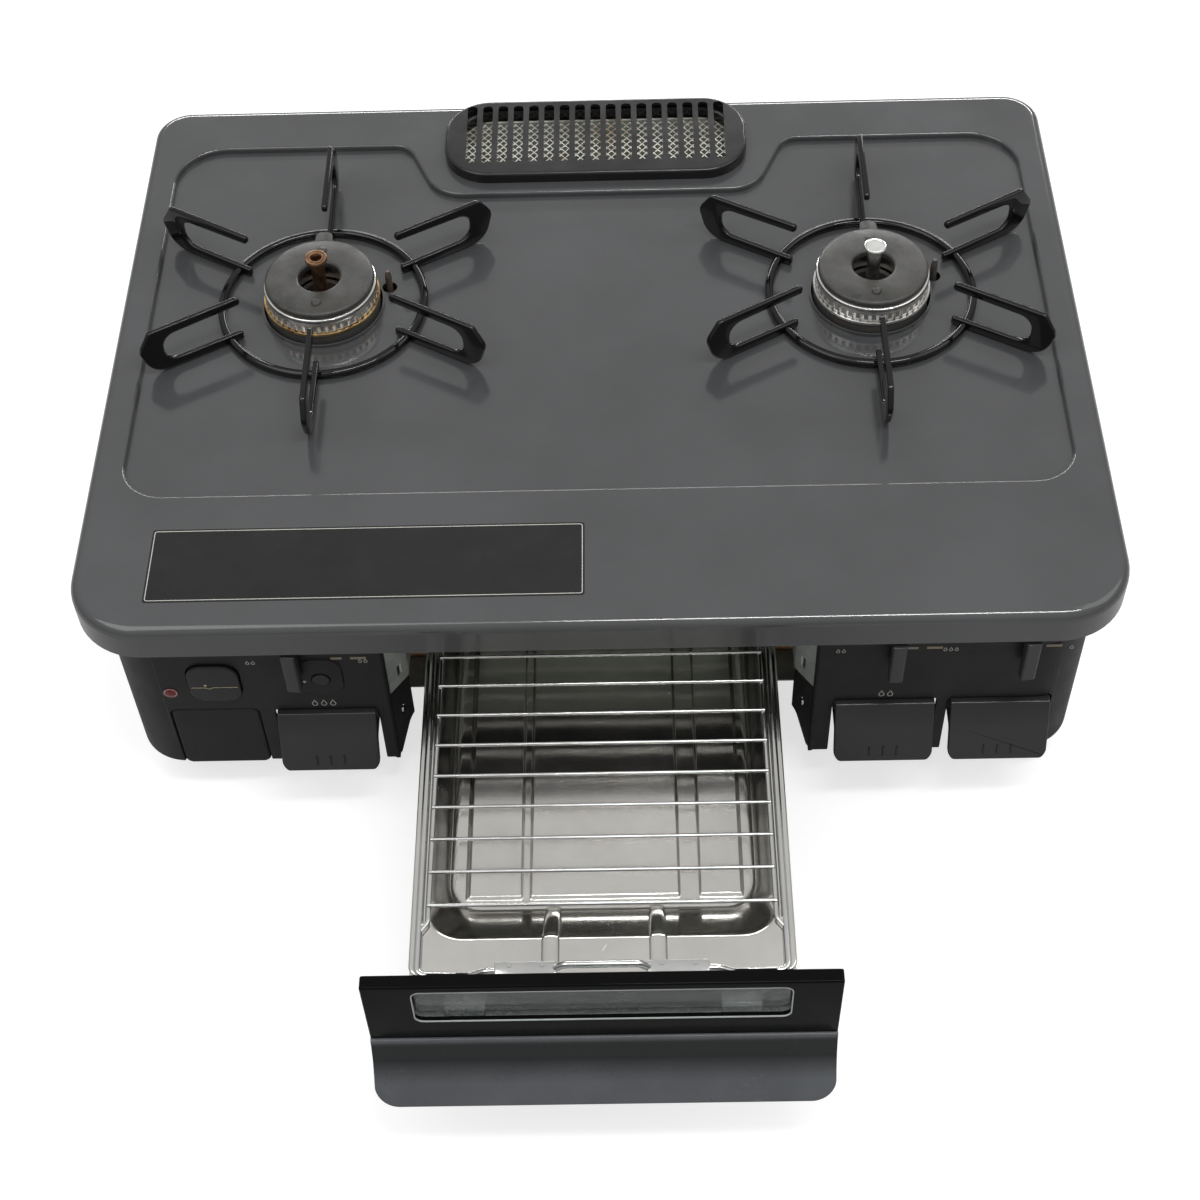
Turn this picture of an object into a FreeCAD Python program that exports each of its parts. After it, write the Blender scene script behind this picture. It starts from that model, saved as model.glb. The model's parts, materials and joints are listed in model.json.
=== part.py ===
import FreeCAD, Part
import math
import os
import Sketcher

# Two-burner table stove with a pull-out fish grill.
# Lengths are in millimetres, X to the right, Y to the back, Z up from the plane the feet stand on.
# Sizes below are written about the middle of the top plate, with the grill drawer closed.
# Placements then move the whole stove back by plate_centre and the drawer forward by drawer_out.

Vector = FreeCAD.Vector
doc = FreeCAD.newDocument("gas_stove")
sheet = doc.addObject("Spreadsheet::Sheet", "dims")


class Size:
    """A length that knows its value and the sheet expression that gives it."""

    def __init__(self, value, text=None):
        self.value = float(value)
        self.text = text if text is not None else repr(float(value))
        self.bound = text is not None

    def join(self, other, value, sign, swap=False):
        other = other if isinstance(other, Size) else Size(other)
        first, second = (other, self) if swap else (self, other)
        joined = Size(value)
        joined.text = f"({first.text} {sign} {second.text})"
        joined.bound = self.bound or other.bound
        return joined

    def __add__(self, other):
        return self.join(other, self.value + number(other), "+")

    def __radd__(self, other):
        return self.join(other, number(other) + self.value, "+", True)

    def __sub__(self, other):
        return self.join(other, self.value - number(other), "-")

    def __rsub__(self, other):
        return self.join(other, number(other) - self.value, "-", True)

    def __mul__(self, other):
        return self.join(other, self.value * number(other), "*")

    def __rmul__(self, other):
        return self.join(other, number(other) * self.value, "*", True)

    def __truediv__(self, other):
        return self.join(other, self.value / number(other), "/")

    def __neg__(self):
        return self * -1


def number(size):
    return size.value if isinstance(size, Size) else float(size)


sheet_row = 1


def dim(alias, value, note):
    """Write one driving size in the sheet and hand it back."""
    global sheet_row
    sheet.set(f"A{sheet_row}", alias)
    sheet.set(f"B{sheet_row}", str(value))
    sheet.set(f"C{sheet_row}", note)
    sheet.setAlias(f"B{sheet_row}", alias)
    sheet_row += 1
    return Size(value, f"dims.{alias}")


# Whole stove
plate_centre = dim("plate_centre", 105.6, "middle of the top plate behind the origin")
drawer_out = dim("drawer_out", 198, "how far the grill drawer stands out at rest")
gap = dim("gap", 0.3, "running clearance between pieces")
skin = dim("skin", 1, "thickness of the pressed steel sheets")

# Top plate
plate_width = dim("plate_width", 560, "top plate, left to right")
plate_depth = dim("plate_depth", 421, "top plate, front to back")
plate_top = dim("plate_top", 162, "height of the top plate's rim")
flange_drop = dim("flange_drop", 21, "turned-down edge of the top plate")
plate_front_round = dim("plate_front_round", 40, "front corners in plan")
plate_back_round = dim("plate_back_round", 22, "back corners in plan")
plate_edge_round = dim("plate_edge_round", 6, "rolled top edge")
recess_width = dim("recess_width", 523, "pressed recess, left to right")
recess_front = dim("recess_front", 116.5, "recess front edge before the middle")
recess_back = dim("recess_back", 172, "recess back edge behind the middle")
recess_drop = dim("recess_drop", 4, "depth of the recess")
recess_front_round = dim("recess_front_round", 24, "front corners of the recess")
recess_back_round = dim("recess_back_round", 30, "back corners of the recess")
recess_lip_round = dim("recess_lip_round", 1.8, "rounding of the recess lip")
island_front = dim("island_front", 125, "front of the raised exhaust island")
island_width = dim("island_width", 196, "exhaust island at its front")
island_foot = dim("island_foot", 236, "exhaust island where it meets the back edge")
hole_dia = dim("hole_dia", 70, "burner hole in the plate")
collar_rise = dim("collar_rise", 2, "collar pressed up round the burner hole")
exhaust_hole_width = dim("exhaust_hole_width", 171, "exhaust opening in the plate, left to right")
exhaust_hole_depth = dim("exhaust_hole_depth", 58, "exhaust opening in the plate, front to back")

# Exhaust cover
cover_width = dim("cover_width", 188, "exhaust cover, left to right")
cover_depth = dim("cover_depth", 70.5, "exhaust cover, front to back")
cover_middle = dim("cover_middle", 169.5, "exhaust cover behind the middle")
cover_round = dim("cover_round", 28, "corners of the exhaust cover")
cover_rise = dim("cover_rise", 7, "exhaust cover above the plate")
cover_deck = dim("cover_deck", 2.5, "thickness of the slotted deck")
cover_wall = dim("cover_wall", 3, "wall of the exhaust cover")
cover_skirt = dim("cover_skirt", 2.6, "skirt that drops in the plate's opening")
cover_slots = dim("cover_slots", 17, "number of slots")
slot_pitch = dim("slot_pitch", 9.7, "slot to slot")
slot_width = dim("slot_width", 6.2, "width of a slot")
slot_length = dim("slot_length", 54, "length of a slot")
slot_middle = dim("slot_middle", 172.5, "middle of the slots behind the middle of the plate")

# Casing
body_width = dim("body_width", 530, "casing, left to right")
body_front = dim("body_front", 172, "front of the side panels before the middle")
body_back = dim("body_back", 203, "back of the casing behind the middle")
base_level = dim("base_level", 12, "underside of the bottom plate")
base_front = dim("base_front", 140, "front of the bottom plate before the middle")
foot_dia = dim("foot_dia", 28, "rubber foot")
foot_spread = dim("foot_spread", 480, "feet, left to right")
foot_front = dim("foot_front", 122, "front feet before the middle")
foot_back = dim("foot_back", 180, "back feet behind the middle")
vent_length = dim("vent_length", 50, "vent slots in the casing")
vent_width = dim("vent_width", 4, "width of a vent slot")
vent_pitch = dim("vent_pitch", 40, "vent slot to vent slot")

# Front panels
panel_face = dim("panel_face", 200.5, "front of the panels before the middle")
panel_bottom = dim("panel_bottom", 136, "panel's lower edge below the plate's rim")
panel_top_gap = dim("panel_top_gap", 8, "panel's upper edge below the plate's rim")
panel_wall = dim("panel_wall", 2.5, "wall of a front panel")
panel_round = dim("panel_round", 27, "outer front corner of a panel in plan")
panel_gap = dim("panel_gap", 232, "opening between the two panels")
ear_depth = dim("ear_depth", 17.5, "panel's inner side wall, front to back")
ear_lean = dim("ear_lean", 9.5, "how far the inner side wall leans in behind the door")
ear_top = dim("ear_top", 78, "top of the leaning wall below the plate's rim")
ear_screw = dim("ear_screw", 101, "screw of the leaning wall below the plate's rim")
ear_hole = dim("ear_hole", 9, "diamond pocket in the inner side wall")

# Buttons and levers
left_button_x = dim("left_button_x", 152, "left burner's button, left of the middle")
right_button_x = dim("right_button_x", 155.5, "right burner's button, right of the middle")
grill_button_x = dim("grill_button_x", 218.8, "grill button, right of the middle")
button_width = dim("button_width", 54.6, "press button, left to right")
button_top = dim("button_top", 85.5, "top of a press button below the plate's rim")
button_ridge = dim("button_ridge", 98, "ridge of a press button below the rim")
button_lip = dim("button_lip", 120, "lower lip of a press button below the rim")
button_reach = dim("button_reach", 17.5, "lower lip before the panel")
button_crest = dim("button_crest", 9, "ridge before the panel")
button_shell = dim("button_shell", 3, "thickness of the button's lip")
button_slack = dim("button_slack", 1.2, "gap beside a press button")
button_travel = dim("button_travel", 8, "stroke of a press button")
button_corner = dim("button_corner", 8, "lower corners of a press button")
stem_dia = dim("stem_dia", 8, "button stem")
lever_radius = dim("lever_radius", 103, "lever pivot to the middle of its grip")
lever_pivot = dim("lever_pivot", 105, "lever pivot before the middle")
lever_arm = dim("lever_arm", 6, "width of a lever arm")
lever_thick = dim("lever_thick", 4, "thickness of a lever arm")
lever_grip_width = dim("lever_grip_width", 8, "lever grip, left to right")
lever_grip_depth = dim("lever_grip_depth", 7, "lever grip, front to back")
lever_grip_drop = dim("lever_grip_drop", 31, "lever grip, top to bottom")
lever_level = dim("lever_level", 24, "top of the levers below the plate's rim")
lever_slot = dim("lever_slot", 52, "lever slot in the panel")
lever_pin = dim("lever_pin", 5.4, "pivot pin")
left_lever_rest = dim("left_lever_rest", -6.9, "left lever's turn at rest, degrees")
right_lever_rest = dim("right_lever_rest", 1.3, "right lever's turn at rest, degrees")
grill_lever_rest = dim("grill_lever_rest", 5.1, "grill lever's turn at rest, degrees")
mode_x = dim("mode_x", 209.5, "mode button, left of the middle")
mode_level = dim("mode_level", 57.5, "mode button below the plate's rim")
mode_width = dim("mode_width", 28, "mode button, left to right")
mode_height = dim("mode_height", 31, "mode button, top to bottom")
heat_x = dim("heat_x", 151.3, "high-heat button, left of the middle")
heat_level = dim("heat_level", 56, "high-heat button below the plate's rim")
heat_dia = dim("heat_dia", 9.6, "high-heat button")
pad_width = dim("pad_width", 24, "raised pad round the high-heat button")
pad_height = dim("pad_height", 31, "raised pad, top to bottom")
lamp_x = dim("lamp_x", 235, "battery lamp, left of the middle")
lamp_level = dim("lamp_level", 67, "battery lamp below the plate's rim")
lamp_dia = dim("lamp_dia", 7, "battery lamp")

# Batteries
cell_x = dim("cell_x", 214, "battery drawer, left of the middle")
cell_level = dim("cell_level", 106, "battery axis below the plate's rim")
cell_dia = dim("cell_dia", 33.4, "D cell")
cell_length = dim("cell_length", 60.9, "D cell")
lid_width = dim("lid_width", 49, "battery lid, left to right")
lid_top = dim("lid_top", 83, "top of the battery lid below the plate's rim")
trough_wall = dim("trough_wall", 1.5, "wall of the battery trough and its case")

# Burners
burner_x = dim("burner_x", 161, "burner, left and right of the middle")
burner_y = dim("burner_y", 34, "burner behind the middle")
cup_dia = dim("cup_dia", 67, "burner body at the plate")
cup_low_dia = dim("cup_low_dia", 60, "burner body below the plate")
cup_wall = dim("cup_wall", 2.7, "wall of the burner body")
cup_rim = dim("cup_rim", 3, "rim of the burner body above the plate's rim")
cup_drop = dim("cup_drop", 74, "underside of the burner body below the plate's rim")
throat_dia = dim("throat_dia", 24, "air passage through the burner")
ring_dia = dim("ring_dia", 66, "slotted burner ring")
ring_height = dim("ring_height", 12, "slotted burner ring")
ring_bore = dim("ring_bore", 31, "opening through the slotted ring")
ring_slots = dim("ring_slots", 36, "flame slots")
ring_slot = dim("ring_slot", 1.6, "width of a flame slot")
cap_dia = dim("cap_dia", 64, "burner cap")
cap_height = dim("cap_height", 4, "burner cap")
cap_hole = dim("cap_hole", 24, "hole in the burner cap")
cap_bump = dim("cap_bump", 5, "bumps on the burner cap")
tube_dia = dim("tube_dia", 24, "mixing tube")
tube_level = dim("tube_level", 60, "mixing tube's axis below the plate's rim")
tube_front = dim("tube_front", 76, "mouth of the mixing tube before the middle")
sleeve_dia = dim("sleeve_dia", 13, "sensor sleeve")
sleeve_bore = dim("sleeve_bore", 8.8, "bore of the sensor sleeve")
sleeve_top = dim("sleeve_top", 20, "top of the sensor sleeve below the plate's rim")
sensor_dia = dim("sensor_dia", 7.8, "sensor tube")
sensor_top = dim("sensor_top", 34, "sensor above the plate's rim")
sensor_head_dia = dim("sensor_head_dia", 13, "sensor head")
sensor_foot = dim("sensor_foot", 48, "lower end of the sensor tube below the plate's rim")
electrode_ring = dim("electrode_ring", 40.5, "electrode and thermocouple from the burner's axis")
electrode_dia = dim("electrode_dia", 6.4, "ceramic body of the electrode")
couple_dia = dim("couple_dia", 4, "thermocouple")
couple_turn = dim("couple_turn", 20, "thermocouple's place round the burner, degrees")
lug_level = dim("lug_level", 32, "lugs that carry them, below the plate's rim")

# Trivets
trivet_top = dim("trivet_top", 28, "trivet above the plate's rim")
trivet_ring = dim("trivet_ring", 119, "trivet's wire ring, centre line")
trivet_wire = dim("trivet_wire", 5, "wire of the ring")
finger_out = dim("finger_out", 114, "outer end of a finger from the burner's axis")
finger_in = dim("finger_in", 50, "tip of a finger from the burner's axis")
finger_thick = dim("finger_thick", 3.4, "thickness of a finger")
finger_bar = dim("finger_bar", 5.4, "height of a finger's arms")
finger_end = dim("finger_end", 15, "width of a finger's closed end")
finger_count = dim("finger_count", 6, "number of fingers")

# Gas valves and pipe
valve_width = dim("valve_width", 30, "valve block, left to right")
valve_front = dim("valve_front", 150, "front of the valve blocks before the middle")
valve_back = dim("valve_back", 85, "back of the valve blocks before the middle")
valve_top = dim("valve_top", 82, "top of the valve blocks below the plate's rim")
valve_height = dim("valve_height", 30, "height of a valve block")
stem_level = dim("stem_level", 97, "button stems below the plate's rim")
pipe_dia = dim("pipe_dia", 10, "gas pipe")
pipe_wall = dim("pipe_wall", 1, "wall of the gas pipe")
pipe_y = dim("pipe_y", 118, "gas pipe before the middle")
pipe_level = dim("pipe_level", 20.5, "gas pipe above the feet's plane")
pipe_right = dim("pipe_right", 246, "gas pipe's run along the right side")
inlet_level = dim("inlet_level", 60, "gas inlet above the feet's plane")
inlet_dia = dim("inlet_dia", 9.5, "hose nipple")
inlet_end = dim("inlet_end", 209, "tip of the hose nipple behind the middle")

# Grill chamber
chamber_front = dim("chamber_front", 165, "front of the grill chamber before the middle")
chamber_back = dim("chamber_back", 127, "back of the grill chamber behind the middle")
chamber_width = dim("chamber_width", 218, "grill chamber above the runners")
chamber_low_width = dim("chamber_low_width", 180, "grill chamber below the runners")
runner_level = dim("runner_level", 92, "runner ledge above the feet's plane")
chamber_floor = dim("chamber_floor", 29, "inside floor of the chamber above the feet's plane")
chamber_top = dim("chamber_top", 137, "inside of the chamber's ceiling above the feet's plane")
duct_width = dim("duct_width", 168, "exhaust duct, left to right")
grill_tube_y = dim("grill_tube_y", 124, "grill burner's gas tube before the middle")
duct_back = dim("duct_back", 197, "back of the exhaust duct behind the middle")
duct_top = dim("duct_top", 158, "top of the exhaust duct above the feet's plane")
duct_sill = dim("duct_sill", 60, "sill of the exhaust duct above the feet's plane")
mouth_half = dim("mouth_half", 101, "front flange of the chamber from the middle")
mesh_depth = dim("mesh_depth", 69.5, "expanded mesh, front to back")
mesh_cell_x = dim("mesh_cell_x", 11, "mesh openings, left to right")
mesh_cell_y = dim("mesh_cell_y", 9.2, "mesh openings, front to back")
mesh_strand = dim("mesh_strand", 1.6, "strands of the mesh")

# Grill drawer
door_width = dim("door_width", 229, "grill door, left to right")
door_face = dim("door_face", 204, "front of the grill door before the middle")
door_thick = dim("door_thick", 7, "grill door")
door_top = dim("door_top", 28, "top of the grill door below the plate's rim")
door_seam = dim("door_seam", 80, "seam between door and handle below the plate's rim")
window_width = dim("window_width", 182, "window, left to right")
window_top = dim("window_top", 33, "top of the window below the plate's rim")
window_bottom = dim("window_bottom", 63, "foot of the window below the plate's rim")
glass_thick = dim("glass_thick", 3, "window glass")
glass_lap = dim("glass_lap", 4, "glass behind the window's edge")
handle_reach = dim("handle_reach", 20, "lower lip of the handle before the door")
handle_lip = dim("handle_lip", 116, "lower lip of the handle below the plate's rim")
handle_shell = dim("handle_shell", 3, "thickness of the handle's lip")
handle_corner = dim("handle_corner", 13, "lower corners of the handle")
clip_place = dim("clip_place", 73, "glass clips from the middle of the door")
clip_width = dim("clip_width", 20, "glass clip at its top")
clip_drop = dim("clip_drop", 43, "foot of the glass clips below the plate's rim")
tray_width = dim("tray_width", 190, "grill tray over its rim")
tray_front = dim("tray_front", 183, "front of the tray before the middle")
tray_back = dim("tray_back", 78, "back of the tray behind the middle")
tray_rim = dim("tray_rim", 106, "rim of the tray above the feet's plane")
tray_depth = dim("tray_depth", 30, "depth of the tray")
tray_flange = dim("tray_flange", 9, "flat rim beside the tray's well")
tray_front_flange = dim("tray_front_flange", 15, "flat rim before the tray's well")
tray_slope = dim("tray_slope", 7, "lean of the tray's side walls")
tray_front_slope = dim("tray_front_slope", 30, "lean of the tray's front wall")
tray_bead = dim("tray_bead", 1.2, "height of the beads on the tray's floor")
net_frame_dia = dim("net_frame_dia", 4, "frame wire of the net")
net_wire_dia = dim("net_wire_dia", 2.4, "cross wires of the net")
net_half = dim("net_half", 86, "side wires of the net from the middle")
net_pitch = dim("net_pitch", 18.6, "cross wire to cross wire")
net_wires = dim("net_wires", 13, "number of cross wires")
rail_thick = dim("rail_thick", 4, "side rail of the drawer's carriage")
rail_inset = dim("rail_inset", 0.7, "side rail in from the tray's rim")


# Helpers for sketches and features
plane_roles = {"XY": "XY_Plane", "XZ": "XZ_Plane", "YZ": "YZ_Plane"}
pad_turn = {"XY": 1, "XZ": -1, "YZ": 1}


def bind(thing, path, size):
    """Tie one property of an object to the sheet."""
    if isinstance(size, Size) and size.bound:
        thing.setExpression(path, size.text)


def new_body(label):
    body = doc.addObject("PartDesign::Body", label)
    body.Label = label
    return body


def sketch(body, plane, level):
    """Start a sketch across the body at a level along the plane's axis."""
    drawn = body.newObject("Sketcher::SketchObject", f"{body.Name}_sketch")
    role = plane_roles[plane]
    base = [item for item in body.Origin.OriginFeatures if item.Role == role][0]
    drawn.AttachmentSupport = [(base, "")]
    drawn.MapMode = "FlatFace"
    offset = level * pad_turn[plane]
    drawn.AttachmentOffset = FreeCAD.Placement(Vector(0, 0, number(offset)), FreeCAD.Rotation())
    bind(drawn, "AttachmentOffset.Base.z", offset)
    drawn.addProperty("App::PropertyString", "Across").Across = plane
    return drawn


def hold_point(drawn, item, end, x, y):
    """Keep a point of the sketch at its place."""
    for word, size in (("DistanceX", x), ("DistanceY", y)):
        index = drawn.addConstraint(Sketcher.Constraint(word, -1, 1, item, end, number(size)))
        bind(drawn, f"Constraints[{index}]", size)


def circle(drawn, x, y, dia):
    centre = Vector(number(x), number(y), 0)
    item = drawn.addGeometry(Part.Circle(centre, Vector(0, 0, 1), number(dia) / 2))
    hold_point(drawn, item, 3, x, y)
    index = drawn.addConstraint(Sketcher.Constraint("Diameter", item, number(dia)))
    bind(drawn, f"Constraints[{index}]", dia)


def rounded_corner(before, here, after, radius):
    """Both ends of the arc that rounds a corner, its centre and the way it turns."""
    to_before = (before - here).normalize()
    to_after = (after - here).normalize()
    half = to_before.getAngle(to_after) / 2
    reach = radius / math.tan(half)
    centre = here + (to_before + to_after).normalize() * (radius / math.sin(half))
    left_turn = to_before.cross(to_after).z < 0
    return here + to_before * reach, here + to_after * reach, centre, left_turn


def corner_arc(start, end, centre, left_turn):
    first, last = (start, end) if left_turn else (end, start)
    opening = math.atan2(first.y - centre.y, first.x - centre.x)
    closing = math.atan2(last.y - centre.y, last.x - centre.x)
    if closing <= opening:
        closing += 2 * math.pi
    ring = Part.Circle(centre, Vector(0, 0, 1), (first - centre).Length)
    return Part.ArcOfCircle(ring, opening, closing)


def outline(drawn, corners):
    """Draw a closed outline through corners of (x, y, rounding radius)."""
    places = [Vector(number(x), number(y), 0) for x, y, radius in corners]
    count = len(places)
    ends = []
    for i, (x, y, radius) in enumerate(corners):
        if number(radius) > 0:
            ends.append(rounded_corner(places[i - 1], places[i], places[(i + 1) % count], number(radius)))
        else:
            ends.append((places[i], places[i], None, True))
    lines = []
    for i in range(count):
        lines.append(drawn.addGeometry(Part.LineSegment(ends[i][1], ends[(i + 1) % count][0])))
    for i, (x, y, radius) in enumerate(corners):
        coming, going = lines[i - 1], lines[i]
        if number(radius) == 0:
            drawn.addConstraint(Sketcher.Constraint("Coincident", coming, 2, going, 1))
            hold_point(drawn, going, 1, x, y)
            continue
        start, end, centre, left_turn = ends[i]
        arc = drawn.addGeometry(corner_arc(start, end, centre, left_turn))
        arc_in, arc_out = (1, 2) if left_turn else (2, 1)
        drawn.addConstraint(Sketcher.Constraint("Tangent", coming, 2, arc, arc_in))
        drawn.addConstraint(Sketcher.Constraint("Tangent", arc, arc_out, going, 1))
        index = drawn.addConstraint(Sketcher.Constraint("Radius", arc, number(radius)))
        bind(drawn, f"Constraints[{index}]", radius)
        corner = drawn.addGeometry(Part.Point(places[i]), True)
        drawn.addConstraint(Sketcher.Constraint("PointOnObject", corner, 1, coming))
        drawn.addConstraint(Sketcher.Constraint("PointOnObject", corner, 1, going))
        hold_point(drawn, corner, 1, x, y)


def box_outline(drawn, x, y, width, depth, radius=0):
    """Draw a rectangle about its middle, with rounded corners if a radius is given."""
    right, left = x + width / 2, x - width / 2
    back, front = y + depth / 2, y - depth / 2
    outline(drawn, [(left, front, radius), (right, front, radius), (right, back, radius), (left, back, radius)])


def span_outline(drawn, left, right, low, high, radius=0):
    """Draw a rectangle between two places each way."""
    outline(drawn, [(left, low, radius), (right, low, radius), (right, high, radius), (left, high, radius)])


def pad(body, drawn, length, way=1):
    """Add material along the sketch's axis, forwards or backwards."""
    feature = body.newObject("PartDesign::Pad", f"{body.Name}_pad")
    feature.Profile = drawn
    feature.Length = number(length)
    bind(feature, "Length", length)
    feature.Reversed = way != pad_turn[drawn.Across]
    doc.recompute()
    return feature


def pocket(body, drawn, length=None, way=-1):
    """Cut along the sketch's axis, right through when no length is given."""
    before = body.Shape.Volume
    feature = body.newObject("PartDesign::Pocket", f"{body.Name}_pocket")
    feature.Profile = drawn
    if length is None:
        feature.Type = "ThroughAll"
    else:
        feature.Length = number(length)
        bind(feature, "Length", length)
    feature.Reversed = way == pad_turn[drawn.Across]
    doc.recompute()
    if body.Shape.Volume > before - 0.01:
        raise RuntimeError(f"{body.Label}: a cut removed nothing")
    return feature


def round_edges(body, radius, test):
    """Round the edges that pass a test."""
    shape = body.Shape
    names = [f"Edge{i + 1}" for i, edge in enumerate(shape.Edges) if test(edge)]
    if not names:
        raise RuntimeError(f"{body.Label}: no edge to round")
    last = body.Tip
    feature = body.newObject("PartDesign::Fillet", f"{body.Name}_round")
    feature.Base = (last, names)
    feature.Radius = number(radius)
    bind(feature, "Radius", radius)
    doc.recompute()
    if "Invalid" in feature.State:
        raise RuntimeError(f"{body.Label}: edges that could not be rounded")


def turned(body, corners, axis_x=0, axis_y=0):
    """Turn an outline of (radius, height, rounding) round a vertical axis."""
    body_sketch = sketch(body, "XZ", Size(0) + axis_y)
    outline(body_sketch, [(axis_x + r, z, rounding) for r, z, rounding in corners])
    line = body_sketch.addGeometry(Part.LineSegment(Vector(number(axis_x), 0, 0), Vector(number(axis_x), 10, 0)), True)
    body_sketch.addConstraint(Sketcher.Constraint("Vertical", line))
    hold_point(body_sketch, line, 1, axis_x, Size(0))
    feature = body.newObject("PartDesign::Revolution", f"{body.Name}_turned")
    feature.Profile = body_sketch
    feature.ReferenceAxis = (body_sketch, ["Axis0"])
    feature.Angle = 360
    doc.recompute()
    return feature


def ring_pattern(body, feature, axis_sketch, count):
    """Repeat a feature round the turned body's axis."""
    pattern = body.newObject("PartDesign::PolarPattern", f"{body.Name}_pattern")
    pattern.Originals = [feature]
    pattern.Axis = (axis_sketch, ["Axis0"])
    pattern.Angle = 360
    pattern.Occurrences = int(number(count))
    bind(pattern, "Occurrences", count)
    body.Tip = pattern
    doc.recompute()


def row_pattern(body, feature, drawn, axis, pitch, count):
    """Repeat a feature along one axis of its sketch."""
    pattern = body.newObject("PartDesign::LinearPattern", f"{body.Name}_row")
    pattern.Originals = [feature]
    pattern.Direction = (drawn, [axis])
    pattern.Mode = "Spacing"
    pattern.Offset = number(pitch)
    bind(pattern, "Offset", pitch)
    pattern.Occurrences = int(number(count))
    bind(pattern, "Occurrences", count)
    body.Tip = pattern
    doc.recompute()


def shape_piece(label, shape):
    """Hold a shape made with solid functions as an object of the document."""
    piece = doc.addObject("Part::Feature", label)
    piece.Label = label
    piece.Shape = shape
    return piece


def clip_corners(body, width, middle, low, radius, front, depth):
    """Round the two lower corners of a piece as seen from the front."""
    drawn = sketch(body, "XZ", front)
    for side in (-1, 1):
        edge = middle + side * (width / 2 + 0.15)
        inner = edge - side * (radius + 1)
        corners = [(inner, low, 0), (edge, low, radius), (edge, low + radius + 1, 0),
                   (edge + side * 3, low + radius + 1, 0), (edge + side * 3, low - 3, 0), (inner, low - 3, 0)]
        outline(drawn, corners)
    pocket(body, drawn, depth, 1)


def slab(left, right, front, back, low, high):
    """A plain block between two places each way."""
    corner = Vector(number(left), number(front), number(low))
    return Part.makeBox(number(right - left), number(back - front), number(high - low), corner)


def rod(x, y, z, dia, length, axis):
    return Part.makeCylinder(number(dia) / 2, number(length), Vector(number(x), number(y), number(z)), axis)


pieces = []


def keep(piece, in_drawer=False):
    """Set a finished piece at its place in the stove."""
    shift = plate_centre - drawer_out if in_drawer else plate_centre
    placement = piece.Placement
    piece.Placement = FreeCAD.Placement(Vector(0, number(shift), 0), FreeCAD.Rotation()).multiply(placement)
    if placement.Base.Length == 0:
        bind(piece, "Placement.Base.y", shift)
    pieces.append(piece)


# Top plate: pressed steel with a turned-down edge, a recess round both burners and an exhaust opening
def plate_outline(drawn, inset):
    half, deep = plate_width / 2 - inset, plate_depth / 2 - inset
    front, back = plate_front_round - inset, plate_back_round - inset
    outline(drawn, [(-half, -deep, front), (half, -deep, front), (half, deep, back), (-half, deep, back)])


def recess_outline(drawn, grow):
    half, front, back = recess_width / 2 + grow, -recess_front - grow, recess_back + grow
    near, far = island_width / 2 - grow, island_foot / 2 - grow
    outline(drawn, [
        (-half, front, recess_front_round), (half, front, recess_front_round),
        (half, back, recess_back_round), (far, back, 14),
        (near, island_front + grow, 24), (-near, island_front + grow, 24),
        (-far, back, 14), (-half, back, recess_back_round)])


def make_top_plate():
    body = new_body("top_plate")
    rim = sketch(body, "XY", plate_top - flange_drop)
    plate_outline(rim, Size(0))
    pad(body, rim, flange_drop)
    under = sketch(body, "XY", plate_top - flange_drop)
    plate_outline(under, skin)
    pocket(body, under, flange_drop - skin, 1)
    ceiling, top = number(plate_top - skin), number(plate_top)

    def on_ceiling(edge):
        box = edge.BoundBox
        return abs(box.ZMin - ceiling) < 0.01 and abs(box.ZMax - ceiling) < 0.01

    round_edges(body, plate_edge_round - skin, on_ceiling)
    round_edges(body, plate_edge_round, lambda edge: edge.BoundBox.ZMin > top - 0.01)
    pan = sketch(body, "XY", plate_top - skin)
    recess_outline(pan, skin)
    pad(body, pan, recess_drop, -1)
    press = sketch(body, "XY", plate_top)
    recess_outline(press, Size(0))
    pocket(body, press, recess_drop)
    round_edges(body, recess_lip_round, lambda edge: on_recess_lip(edge))
    collars = sketch(body, "XY", plate_top - recess_drop)
    for side in (-1, 1):
        circle(collars, side * burner_x, burner_y, hole_dia + 2 * skin)
    pad(body, collars, collar_rise)
    holes = sketch(body, "XY", plate_top)
    for side in (-1, 1):
        circle(holes, side * burner_x, burner_y, hole_dia)
    pocket(body, holes)
    notches = sketch(body, "XY", plate_top)
    for side in (-1, 1):
        across, along = couple_place(side)
        circle(notches, side * burner_x, burner_y + electrode_ring, electrode_dia + 6)
        circle(notches, across, along, couple_dia + 5)
    pocket(body, notches)
    opening = sketch(body, "XY", plate_top)
    box_outline(opening, Size(0), cover_middle, exhaust_hole_width, exhaust_hole_depth, 22)
    pocket(body, opening)
    keep(body)


def on_recess_lip(edge):
    box = edge.BoundBox
    top = number(plate_top)
    within = max(abs(box.XMin), abs(box.XMax)) <= number(recess_width) / 2 + 0.01
    return box.ZMin > top - 0.01 and within and box.YMax <= number(recess_back) + 0.01


def couple_place(side):
    """Where the thermocouple of the left or right burner stands."""
    turn = math.radians(number(couple_turn))
    return side * burner_x + electrode_ring * math.cos(turn), burner_y + electrode_ring * math.sin(turn)


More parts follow.
